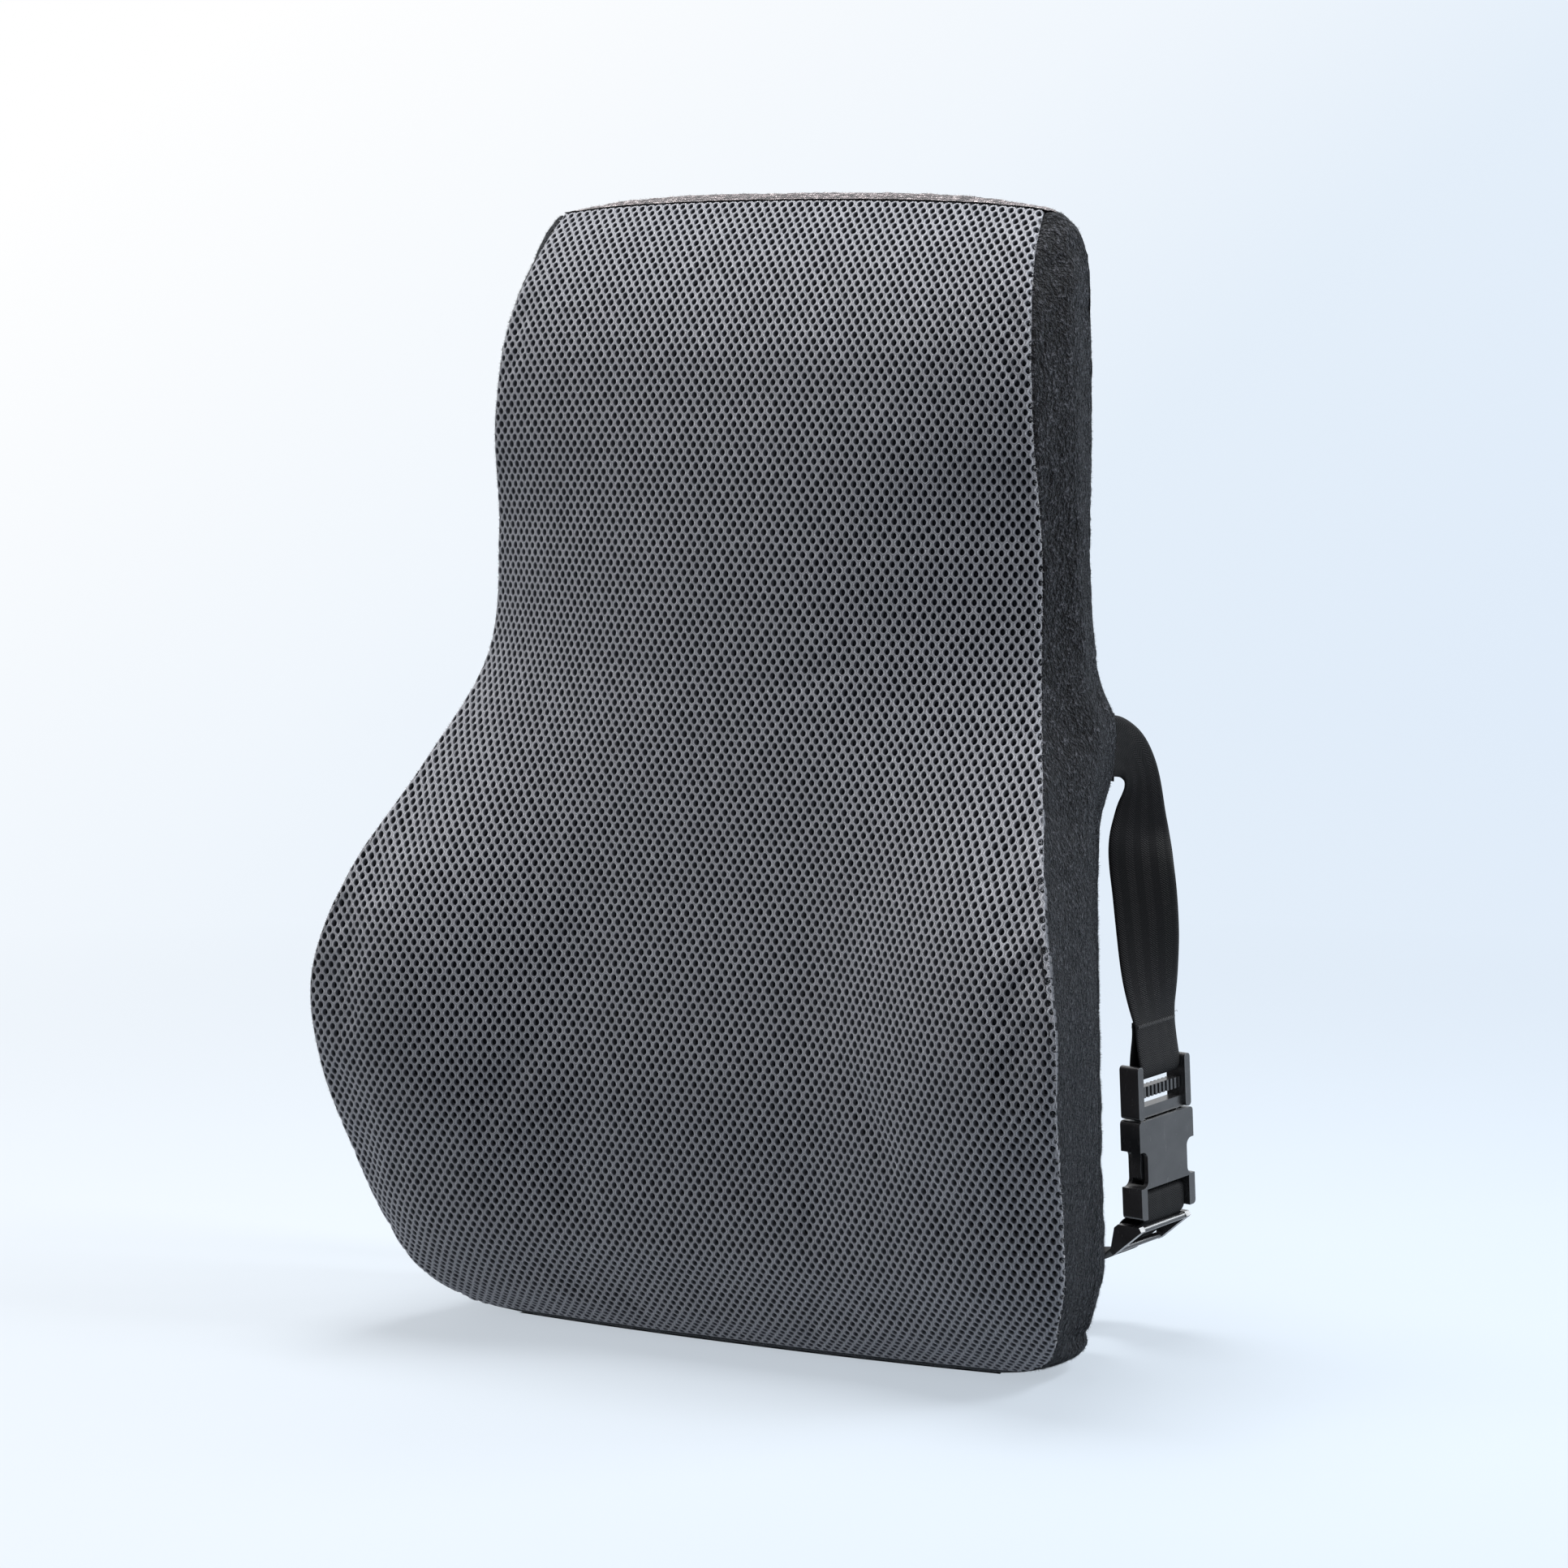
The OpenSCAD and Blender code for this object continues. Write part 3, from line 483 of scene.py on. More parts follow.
def simulate():
    """Inflates the sewn cover a little with its seams held, and returns how far each point moved, in mm, as ring grids."""
    zr = np.unique(np.concatenate([[0, 2, 5, 9, 14, 20], np.arange(26, 62, 6.0), [63, 67, 72, 77, 81], np.arange(86, 420, 6.0), [420, 426, 432, 438, 442]]))
    cs, ct, cq = np.linspace(-1, 1, 65), np.linspace(0, 1, 13), np.linspace(1, -1, 49)
    cols = [front_pt(cs[None, :], zr[:, None])[:, :-1], side_pt(ct[None, :], zr[:, None], 1)[:, :-1], back_pt(cq[None, :], zr[:, None])[:, :-1], side_pt(ct[::-1][None, :], zr[:, None], -1)[:, :-1]]
    P = np.concatenate(cols, 1)
    nr, nc = P.shape[:2]
    n = [c.shape[1] for c in cols]
    seams = [0, n[0], n[0] + n[1], n[0] + n[1] + n[2]]
    N = ring_normals(P)
    o = add_mesh("sim_cover", P.reshape(-1, 3) * MM, grid_faces(nr, nc, close_u=True), M_LINER)
    # held along the seams, round the base and the top, and along the zip
    pinned = np.zeros((nr, nc), bool)
    pinned[:2] = True
    pinned[-2:] = True
    pinned[:, seams] = True
    pinned[np.ix_((zr > 62) & (zr < 82), np.arange(seams[2], seams[3]))] = True
    g = o.vertex_groups.new(name="pin")
    g.add([int(i) for i in np.flatnonzero(pinned.ravel())], 1.0, "REPLACE")
    md = o.modifiers.new("cloth", "CLOTH")
    st = md.settings
    st.quality = 6
    st.mass = 0.25
    st.air_damping = 4
    st.tension_stiffness = 18
    st.compression_stiffness = 8
    st.shear_stiffness = 6
    st.bending_stiffness = 0.5
    st.shrink_min = SIM_SHRINK
    st.vertex_group_mass = "pin"
    st.use_pressure = True
    st.uniform_pressure_force = SIM_PRESSURE
    st.effector_weights.gravity = 0.0
    md.collision_settings.use_collision = False
    md.collision_settings.use_self_collision = False
    md.point_cache.frame_start = 1
    md.point_cache.frame_end = 24
    for f in range(1, 25):
        scene.frame_set(f)
    me = o.evaluated_get(bpy.context.evaluated_depsgraph_get()).to_mesh()
    co = np.empty(len(me.vertices) * 3, np.float32)
    me.vertices.foreach_get("co", co)
    W = co.reshape(nr, nc, 3) / MM
    scene.frame_set(1)
    bpy.data.objects.remove(o, do_unlink=True)
    out = ((W - P) * N).sum(-1)
    print("sim: raw percentiles", [round(float(v), 2) for v in np.percentile(out, (0, 5, 25, 50, 75, 95, 100))])
    # the foam inside stops the cover from moving far
    out = 1.5 * np.tanh(out / 1.5)
    fade = step01(0, 16, zr)[:, None] * (1 - step01(430, 442, zr))[:, None]
    D = N * (np.where(pinned, 0, out) * fade)[..., None]
    print("sim: moved", round(float(out.min()), 2), "to", round(float(out.max()), 2), "mm")
    res, i0 = {}, 0
    for name, k, a in (("front", n[0], cs), ("right", n[1], ct), ("back", n[2], cq), ("left", n[3], ct[::-1])):
        d = D[:, [(i0 + i) % nc for i in range(k + 1)]]
        i0 += k
        if a[0] > a[-1]:
            a, d = a[::-1], d[:, ::-1]
        res[name] = (a, zr, d)
    return res


def ring_normals(P):
    du = unit(P - np.roll(P, 1, 1)) + unit(np.roll(P, -1, 1) - P)
    dz = np.gradient(P, axis=0)
    return unit(np.cross(du, dz))


def cubic(a0, z0, d, a, z):
    """Catmull-Rom samples of grid d (z0, a0 knots) at every (z, a)."""

    def weights(x0, x):
        i = np.clip(np.searchsorted(x0, x, side="right") - 1, 0, len(x0) - 2)
        t = (x - x0[i]) / (x0[i + 1] - x0[i])
        w = np.stack([-0.5 * t + t * t - 0.5 * t**3, 1 - 2.5 * t * t + 1.5 * t**3, 0.5 * t + 2 * t * t - 1.5 * t**3, -0.5 * t * t + 0.5 * t**3], -1)
        k = np.clip(i[:, None] + np.arange(-1, 3)[None], 0, len(x0) - 1)
        return w, k

    wz, kz = weights(z0, z)
    wa, ka = weights(a0, a)
    rows = np.einsum("zk,zkac->zac", wz, d[kz])
    return np.einsum("ak,zakc->zac", wa, rows[:, ka])


SIM = simulate()


class Side:
    """One panel's outer surface in mm as a dense table over (z, a)."""

    def __init__(self, name):
        self.a, self.z = SG[name], ZT
        A, Z = self.a[None, :], self.z[:, None]
        P = FORM[name](A, Z)
        # the strap pulls the cover's back corners out where it is sewn in
        pull = np.interp(self.z, [206, 213, 219, 225, 235, 243, 248, 255, 266], [0, 0.9, 2.5, 3.2, 3.8, 4.9, 4.7, 2.2, 0])
        pull = np.convolve(np.pad(pull, 4, mode="edge"), np.ones(9) / 9, "valid")[:, None]
        if name in ("right", "left"):
            P[..., 0] += pull * step01(0.35, 1, A) * (1 if name == "right" else -1)
        elif name == "back":
            P[..., 0] += pull * step01(0.72, 1, np.abs(A)) * np.sign(A)
        a0, z0, d = SIM[name]
        P = P + cubic(a0, z0, d, self.a, self.z)
        sgn = -1 if name in ("back", "left") else 1
        dz = np.gradient(P, self.z, axis=0)
        da = np.gradient(P, self.a, axis=1)
        N = unit(np.cross(da, dz)) * sgn
        if name in ("right", "left"):
            P, N = self.ridge(name, P, N)
        self.P, self.N = P, N
        self.L = np.concatenate([np.zeros((len(self.z), 1)), np.cumsum(np.linalg.norm(np.diff(P, axis=1), axis=-1), 1)], 1)
        self.V = np.concatenate([np.zeros((1, len(self.a))), np.cumsum(np.linalg.norm(np.diff(P, axis=0), axis=-1), 0)], 0)

    def ridge(self, name, P, N):
        # the soft crease down the side panel near its foot, and the lobe behind it
        t, z = self.a[None, :], self.z[:, None]
        win = step01(5, 20, z) * (1 - step01(70, 150, z))
        d = -2.0 * np.exp(-(((t - 0.36) / 0.14) ** 2)) + 1.6 * np.exp(-(((t - 0.58) / 0.07) ** 2)) - 3.6 * np.exp(-(((t - 0.75) / 0.065) ** 2)) + 0.8 * np.exp(-(((t - 0.90) / 0.06) ** 2))
        d = d * win
        # a soft fold runs up the middle of the panel
        d = d + 2.4 * np.exp(-(((t - 0.5) / 0.2) ** 2)) * step01(70, 150, z) * (1 - step01(405, 438, z))
        # folds that run from the strap's root
        w2 = step01(150, 215, z) * (1 - step01(262, 300, z))
        d = d + w2 * 0.5 * np.sin((t - 0.5) * 17 + z * 0.05) * step01(0.3, 0.8, t)
        edge = step01(0, 0.12, t) * (1 - step01(0.9, 1, t))
        P = P + N * (d * edge)[..., None]
        dz = np.gradient(P, self.z, axis=0)
        da = np.gradient(P, self.a, axis=1)
        return P, unit(np.cross(da, dz)) * (1 if name == "right" else -1)

    def at(self, a, z, depth=0.0):
        """Points and normals at arrays a, z, at a depth under the skin, in mm."""
        i = np.clip(np.searchsorted(self.z, z, side="right") - 1, 0, len(self.z) - 2)
        fz = np.clip((z - self.z[i]) / (self.z[i + 1] - self.z[i]), 0, 1)[..., None]
        x = np.clip((a - self.a[0]) / (self.a[1] - self.a[0]), 0, len(self.a) - 1.000001)
        j = x.astype(int)
        fa = (x - j)[..., None]

        def tab(T):
            return (T[i, j] * (1 - fa) + T[i, j + 1] * fa) * (1 - fz) + (T[i + 1, j] * (1 - fa) + T[i + 1, j + 1] * fa) * fz

        p, n = tab(self.P), unit(tab(self.N))
        return p - n * np.asarray(depth)[..., None], n


S = {k: Side(k) for k in ("front", "right", "back", "left")}


def hash01(*k):
    x = np.sin(sum(np.asarray(v, float) * w for v, w in zip(k, (12.9898, 78.233, 37.719)))) * 43758.5453
    return x - np.floor(x)


def lumps(p, size, seed=0.0):
    """Smooth value noise of points p (mm) at a given size, from -1 to 1."""
    q = p / size + seed
    i = np.floor(q)
    f = q - i
    f = f * f * (3 - 2 * f)
    out = 0
    for dx in (0, 1):
        for dy in (0, 1):
            for dz in (0, 1):
                w = (f[..., 0] if dx else 1 - f[..., 0]) * (f[..., 1] if dy else 1 - f[..., 1]) * (f[..., 2] if dz else 1 - f[..., 2])
                out = out + w * hash01(i[..., 0] + dx, i[..., 1] + dy, i[..., 2] + dz)
    return out * 2 - 1


# ---------------------------------------------------------------- front: spacer mesh with real holes
def front_lattice():
    F = S["front"]
    A, H = 3.716, 2.69
    mid = len(F.a) // 2
    k45 = int(np.argmin(abs(F.a - 0.45)))
    V = F.V[:, k45]
    ug = np.arange(-215, 215.01, 0.5)
    U = F.L - F.L[:, mid : mid + 1]
    slim = U[:, -1]
    Sinv = np.stack([np.interp(ug, U[i], F.a) for i in range(len(F.z))])

    v_lo = float(np.interp(3.2, F.z, V))
    v_hi = float(np.interp(441.5, F.z, V))

    def place(u, v, depth):
        v = np.clip(v, v_lo, v_hi)
        z = np.interp(v, V, F.z)
        lim = np.interp(v, V, slim)
        # rounded lower corners
        c = np.clip(9.0 - (v - v_lo), 0, 9.0)
        lim = lim - (9.0 - np.sqrt(81.0 - c * c))
        d_edge = lim - np.abs(u)
        u = np.clip(u, -lim, lim)
        i = np.clip(np.searchsorted(F.z, z, side="right") - 1, 0, len(F.z) - 2)
        fz = (z - F.z[i]) / (F.z[i + 1] - F.z[i])
        x = (u - ug[0]) / 0.5
        j = np.clip(x.astype(int), 0, len(ug) - 2)
        fu = x - j
        s = (Sinv[i, j] * (1 - fu) + Sinv[i, j + 1] * fu) * (1 - fz) + (Sinv[i + 1, j] * (1 - fu) + Sinv[i + 1, j + 1] * fu) * fz
        # the panel's edge rolls into the seam
        e = np.clip(1 - np.clip(d_edge, 0, 2.2) / 2.2, 0, 1)
        e2 = np.clip(1 - np.clip(v - v_lo, 0, 2.0) / 2.0, 0, 1)
        e3 = np.clip(1 - np.clip(v_hi - v, 0, 1.6) / 1.6, 0, 1)
        return F.at(s, z, depth + np.maximum(np.maximum(1.3 * e * e, 1.3 * e2 * e2), 0.5 * e3 * e3))[0]

    nj = int((v_hi - v_lo) / H) + 3
    ni = int(210 / A) + 2
    cells = []
    for j in range(-1, nj):
        v = v_lo + j * H
        lim = float(np.interp(v, V, slim))
        for i in range(-ni, ni + 1):
            u = i * A + (j % 2) * A / 2
            if abs(u) < lim + A * 0.45:
                cells.append((u, v, i, j))
    C = np.array(cells)
    # shared outline of a cell: corners and edge middles, and the rings round its hole
    c6 = np.array([(0, 1.987), (1.858, 0.703), (1.858, -0.703), (0, -1.987), (-1.858, -0.703), (-1.858, 0.703)])
    out = np.empty((12, 2))
    out[0::2] = c6
    out[1::2] = (c6 + np.roll(c6, -1, 0)) / 2
    th = np.arctan2(out[:, 0], out[:, 1])
    th = np.where(th < -1e-9, th + 2 * np.pi, th)
    rx, ry = 0.93, 1.36
    hole = np.stack([rx * np.sin(th) * (1 - 0.10 * np.cos(th)), ry * np.cos(th) + 0.02], 1)
    # each ring: its shape, its depth under the skin in mm (below zero stands proud), and its place on the mesh
    # material's ramp, which paints the deeper rings darker as shade
    rings = [
        (out, 0.16, 0.0),
        (out * 0.60 + hole * 0.40, -0.22, 1.0),
        (out * 0.20 + hole * 0.80, -0.02, 1.7),
        (hole * 0.97, 0.55, 2.2),
        (hole * 0.90, 2.0, 3.0),
    ]
    nr = len(rings)
    # small differences from hole to hole
    j1, j2 = hash01(C[:, 2], C[:, 3]), hash01(C[:, 3], C[:, 2] + 7)
    jit = np.stack([j1 - 0.5, j2 - 0.5], 1) * 0.16
    grow = 1 + (hash01(C[:, 2] + 3, C[:, 3] + 5) - 0.5) * 0.10
    blocks = 9
    bid = np.clip(((C[:, 1] - v_lo) / (v_hi - v_lo) * blocks).astype(int), 0, blocks - 1)
    made = []
    for b in range(blocks):
        K = np.flatnonzero(bid == b)
        n = len(K)
        P2 = np.empty((n, nr, 12, 2))
        dep = np.empty((n, nr, 12))
        for r, (shape, d, _) in enumerate(rings):
            if r == 0:
                P2[:, r] = C[K, None, :2] + shape[None]
            else:
                P2[:, r] = C[K, None, :2] + shape[None] * grow[K][:, None, None] + jit[K][:, None, :] * min(1, r / 2)
            dep[:, r] = d
        # outline vertices are shared between neighbours
        key = np.round(P2[:, 0].reshape(-1, 2) * 50).astype(np.int64)
        uniq, first, inv = np.unique(key, axis=0, return_index=True, return_inverse=True)
        inv = inv.reshape(n, 12)
        flat = P2[:, 0].reshape(-1, 2)[first]
        corner = np.zeros(12, bool)
        corner[0::2] = True
        d0 = np.where(np.tile(corner, n)[first], 0.06, 0.20)
        verts2 = np.concatenate([flat, P2[:, 1:].reshape(-1, 2)])
        depth = np.concatenate([d0, dep[:, 1:].reshape(-1)])
        pts = place(verts2[:, 0], verts2[:, 1], depth)
        m0 = len(flat)
        idx = np.empty((n, nr, 12), np.int64)
        idx[:, 0] = inv
        idx[:, 1:] = m0 + np.arange(n * (nr - 1) * 12).reshape(n, nr - 1, 12)
        k = np.arange(12)
        k2 = (k + 1) % 12
        faces, uva = [], []
        for r in range(nr - 1):
            # clockwise round the hole seen from outside, so the order is turned
            f = np.stack([idx[:, r][:, k], idx[:, r + 1][:, k], idx[:, r + 1][:, k2], idx[:, r][:, k2]], -1)
            faces.append(f.reshape(-1, 4))
            y0, y1 = rings[r][2], rings[r + 1][2]
            q = np.stack([np.stack([k, np.full(12, y0)], -1), np.stack([k, np.full(12, y1)], -1), np.stack([k + 1, np.full(12, y1)], -1), np.stack([k + 1, np.full(12, y0)], -1)], 1)
            q = np.broadcast_to(q[None], (n, 12, 4, 2)).copy()
            q[..., 0] += np.floor(hash01(C[K, 2], C[K, 3] + 1) * 12)[:, None, None]
            uva.append(q.reshape(-1, 2))
        faces = np.concatenate(faces)
        uva = np.concatenate(uva)
        # cells squeezed flat at the panel's edge
        p = pts[faces]
        area = np.linalg.norm(np.cross(p[:, 2] - p[:, 0], p[:, 3] - p[:, 1]), axis=1) / 2
        keep = area > 1e-4
        faces = faces[keep]
        uva = uva.reshape(-1, 4, 2)[keep].reshape(-1, 2)
        flatuv = verts2[faces.ravel()] * 0.002 + 0.5
        o = add_mesh(f"front_mesh_{b + 1}", pts * MM, faces, M_MESH, {"cloth": flatuv, "yarn": uva})
        made.append(o)
    return made, v_lo, v_hi, V, slim


front_parts, V_LO, V_HI, V_TAB, SLIM = front_lattice()
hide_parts("front_mesh")
for o in front_parts:
    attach(o, "cushion")


# ---------------------------------------------------------------- side panels, foot and back
def cloth_panel(name, side, a, z, mat, depth, lump=0.0, flip=False, seed=0.0, nap=0.0):
    """A fine grid over part of a side. depth(A, Z) in mm; edge rolls are in it."""
    Sd = S[side]
    A, Z = np.meshgrid(a, z)
    d = depth(A, Z)
    p, n = Sd.at(A, Z, d)
    if lump:
        p = p + n * (lump * (lumps(p, 7.0, seed) + 0.5 * lumps(p, 2.6, seed + 9)) + nap * lumps(p, 1.5, seed + 21))[..., None]
    p[..., 2] = np.maximum(p[..., 2], 0.05)
    du = np.concatenate([np.zeros((len(z), 1)), np.cumsum(np.linalg.norm(np.diff(p, axis=1), axis=-1), 1)], 1)
    dv = np.concatenate([np.zeros((1, len(a))), np.cumsum(np.linalg.norm(np.diff(p, axis=0), axis=-1), 0)], 0)
    f = grid_faces(len(z), len(a), flip=flip)
    uv = np.stack([du.reshape(-1)[f.ravel()], dv.reshape(-1)[f.ravel()]], -1)
    o = add_mesh(name, p.reshape(-1, 3) * MM, f, mat, {"cloth": uv})
    return o, p, n


def arc_of(side, z):
    Sd = S[side]
    return np.interp(z, Sd.z, Sd.L[:, -1])


def roll(x, w, d):
    e = np.clip(1 - np.clip(x, 0, w) / w, 0, 1)
    return d * e * e


ZG = np.unique(np.concatenate([np.arange(0.0, 40, 1.0), np.arange(40, 412, 1.6), np.arange(412, 441.6, 1.0), [441.6]]))
ZF = np.unique(np.concatenate([np.arange(0.0, 441.6, 0.85), [441.6]]))
fuzz_src = []
for side, name in (("right", "right_gusset"), ("left", "left_gusset")):
    def dep(A, Z, side=side):
        L = arc_of(side, Z)
        d = 0.5 + roll(A * L, 2.6, 1.5) + roll((1 - A) * L, 2.4, 1.0) + roll(441.6 - Z, 1.8, 0.9)
        return d

    o, p, n = cloth_panel("plush_" + side, side, np.linspace(0, 1, 120), ZF, M_PLUSH, dep, 0.16, flip=(side == "left"), seed=3.0 if side == "right" else 8.0, nap=0.26)
    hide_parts(name)
    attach(o, "cushion")
    fuzz_src.append((side, p, n))


def foot():
    """Plush under the mesh's lower edge, round the foot and over the base."""
    F = S["front"]
    s = np.linspace(-1, 1, 261)
    z = np.array([17, 14, 11.5, 9, 7, 5.4, 4, 2.9, 2, 1.2, 0.6, 0.0])
    A, Z = np.meshgrid(s, z)
    d = np.where(Z > 3.4, 0.95, 0.5 + 0.45 * step01(2.4, 3.4, Z))
    p, n = F.at(A, Z, d)
    p = p + n * (0.12 * lumps(p, 5.0, 2.0))[..., None]
    p[..., 2] = np.maximum(p[..., 2], 0.05)
    f = grid_faces(len(z), len(s), flip=True)
    uv = np.stack([(A * 140).reshape(-1)[f.ravel()], Z.reshape(-1)[f.ravel()]], -1)
    o = add_mesh("plush_foot", p.reshape(-1, 3) * MM, f, M_PLUSH, {"cloth": uv})
    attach(o, "cushion")
    # the base: rings from the outline at the floor to the middle
    ring = np.concatenate([
        F.at(np.linspace(-1, 1, 121)[:-1], np.zeros(120), 0.5)[0],
        S["right"].at(np.linspace(0, 1, 25)[:-1], np.zeros(24), 0.5)[0],
        S["back"].at(np.linspace(1, -1, 91)[:-1], np.zeros(90), 0.5)[0],
        S["left"].at(np.linspace(1, 0, 25)[:-1], np.zeros(24), 0.5)[0],
    ])
    c = np.array([0, 22, 0.0])
    ks = np.linspace(1.0, 0.0, 34) ** 0.9
    pts = []
    for k in ks:
        r = c + (ring - c) * k
        lift = 0.28 * (1 - np.exp(-((1 - k) * 12)))
        r[:, 2] = 0.04 + lift * (0.5 + 0.5 * lumps(np.column_stack([r[:, :2], np.zeros(len(r))]), 9.0, 1.0))
        pts.append(r)
    P = np.stack(pts)
    f = grid_faces(len(ks), P.shape[1], close_u=True, flip=False)
    xy = P.reshape(-1, 3)[:, :2]
    o2 = add_mesh("plush_base", P.reshape(-1, 3) * MM, f, M_PLUSH, {"cloth": xy[f.ravel()]})
    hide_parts("base_panel")
    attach(o2, "cushion")
    return o, o2


foot_front, foot_base = foot()


def back_panels():
    B = S["back"]
    q = np.linspace(-1, 1, 170)

    def dep(A, Z):
        L = np.interp(Z, B.z, B.L[:, -1])
        x = (1 - np.abs(A)) * L / 2
        # the edge of the back cloth stands a little proud beside the seam
        return 0.3 + roll(x, 1.6, 1.2) - 0.9 * np.exp(-(((x - 3.2) / 1.6) ** 2))

    # lower panel
    zl = np.concatenate([np.arange(0, 30, 1.0), np.arange(30, 66.5, 1.5), [66.9]])
    o1, p1, n1 = cloth_panel("back_knit_lower", "back", q, zl, M_BACK, lambda A, Z: dep(A, Z) + roll(66.9 - Z, 2.0, 1.4), 0.14, flip=True, seed=5.0)
    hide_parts("back_lower")
    # upper panel with the wrap over the top
    zu = np.concatenate([[77.1], np.arange(78.5, 410, 2.0), np.arange(410, 441, 1.0), [441.4]])
    A, Z = np.meshgrid(q, zu)
    p, n = B.at(A, Z, dep(A, Z) + roll(Z - 77.1, 2.0, 1.4))
    # cap
    F = S["front"]
    sF, _ = F.at(q, np.full(len(q), 442.0), 0.2)
    top = p[-1]
    g = np.concatenate([np.linspace(0, 1, 16)[1:]])
    cap = []
    for k in g:
        r = top + (sF - top) * k
        r[:, 2] += 3 * np.sin(np.pi * k) * (1 - np.abs(q) ** 4)
        cap.append(r)
    P = np.concatenate([p, np.stack(cap)])
    # soften the corner between the back and the top
    j0 = len(zu) - 1
    for _ in range(10):
        w = slice(j0 - 10, j0 + 9)
        P[w] = P[w] * 0.5 + 0.25 * (P[j0 - 11 : j0 + 8] + P[j0 - 9 : j0 + 10])
    nn = np.cross(np.gradient(P, axis=1), np.gradient(P, axis=0))
    nn = -unit(nn)
    P = P + nn * (0.16 * lumps(P, 7.0, 4.0) + 0.24 * lumps(P, 1.9, 6.0))[..., None]
    du = np.concatenate([np.zeros((P.shape[0], 1)), np.cumsum(np.linalg.norm(np.diff(P, axis=1), axis=-1), 1)], 1)
    dv = np.concatenate([np.zeros((1, P.shape[1])), np.cumsum(np.linalg.norm(np.diff(P, axis=0), axis=-1), 0)], 0)
    f = grid_faces(P.shape[0], P.shape[1], flip=True)
    uv = np.stack([du.reshape(-1)[f.ravel()], dv.reshape(-1)[f.ravel()]], -1)
    o2 = add_mesh("back_knit_upper", P.reshape(-1, 3) * MM, f, M_BACK, {"cloth": uv})
    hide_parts("back_upper")
    for o in (o1, o2):
        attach(o, "cushion")
    return o1, o2, P, nn


back_lo, back_up, BACK_P, BACK_N = back_panels()


# ---------------------------------------------------------------- the pad itself, seen through the holes
def pad():
    z = np.unique(np.concatenate([[0.8, 3, 6, 10, 15, 21], np.arange(27, 430, 4.0), [432, 436, 439.2]]))
    cols = []
    for side, a in (("front", np.linspace(-1, 1, 97)), ("right", np.linspace(0, 1, 21)), ("back", np.linspace(1, -1, 81)), ("left", np.linspace(1, 0, 21))):
        A, Z = np.meshgrid(a[:-1], z)
        d = 2.55 if side == "front" else 2.3
        cols.append(S[side].at(A, Z, np.full(A.shape, d))[0])
    P = np.concatenate(cols, 1)
    lo = P[0].copy()
    lo[:, 2] = np.maximum(lo[:, 2], 1.6)
    P[0] = lo
    nr, nc = P.shape[:2]
    pts = P.reshape(-1, 3)
    f = [list(x) for x in grid_faces(nr, nc, close_u=True)]
    for row, up in ((0, False), (nr - 1, True)):
        c = P[row].mean(0)
        base, prev = len(pts), [row * nc + i for i in range(nc)]
        for k in (0.85, 0.6, 0.3):
            pts = np.concatenate([pts, c + (P[row] - c) * k])
            cur = [len(pts) - nc + i for i in range(nc)]
            for i in range(nc):
                q = [prev[i], prev[(i + 1) % nc], cur[(i + 1) % nc], cur[i]]
                f.append(q if up else q[::-1])
            prev = cur
        pts = np.concatenate([pts, c[None]])
        for i in range(nc):
            q = [prev[i], prev[(i + 1) % nc], len(pts) - 1]
            f.append(q if up else q[::-1])
    o = add_mesh("foam_pad", pts * MM, f, M_LINER)
    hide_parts("foam_core")
    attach(o, "cushion")
    return o


foam = pad()


# ---------------------------------------------------------------- straps
BK = np.array([135, 70, 89.5])
bx = np.array([0.232876, 0.970001, 0.069756])
by = np.array([-0.972370, 0.233445, 0.0])
bz = np.cross(bx, by)
BAR_R, FRAME_BAR, SOCKET_BAR, STRAP_T, STRAP_W = 1.6, 17.8, -31.0, 1.4, 25.0
LAY = BAR_R + 0.15 + STRAP_T / 2
SL = math.radians(52)
RUN_D, RUN_N = (math.sin(SL), -math.cos(SL)), (math.cos(SL), math.sin(SL))
ADJ_Y, ADJ_Z, ADJ_MID = -LAY, -40.0, 11.0
ADJ_LIFT = STRAP_T / 2 + 0.15 + STRAP_T + 0.15 + 1.3


def bp(x, y, z):
    return BK + bx * x + by * y + bz * z


def on_run(s, n):
    return ADJ_Y + RUN_D[0] * s + RUN_N[0] * n, ADJ_Z + RUN_D[1] * s + RUN_N[1] * n


def st_(p):
    return [*p, *bx, STRAP_W]


def run_pt(s, n):
    y, z = on_run(s, n)
    return bp(0, y, z)


# centre, width direction, and width where the webbing gathers at its sewn root
ROOT = [[129.0, 38.6, 235.2, 0.08, -0.25, 0.96, 25], [130.0, 41.4, 235.0, 0.12, -0.18, 0.97, 24.4], [131.5, 45.6, 233.4, 0.18, -0.05, 0.98, 22.2],
        [133.2, 49.6, 230, 0.29, 0.21, 0.93, 19.4], [134.1, 52.3, 225.2, 0.49, 0.43, 0.76, 17], [133.9, 54.6, 220, 0.64, 0.58, 0.48, 16.6],
        [133.2, 56.1, 214.3, 0.74, 0.62, 0.22, 18], [132.4, 57.6, 207.8, 0.74, 0.67, 0.04, 20.6]]
UP = [[131.6, 59, 199, 0.68, 0.73, 0], [132.6, 59, 188, 0.84, 0.54, 0], [134, 59.2, 177, 0.84, 0.54, 0], [135, 60.2, 162, 0.76, 0.65, 0],
      [135.2, 62.4, 146, 0.58, 0.82, 0]]
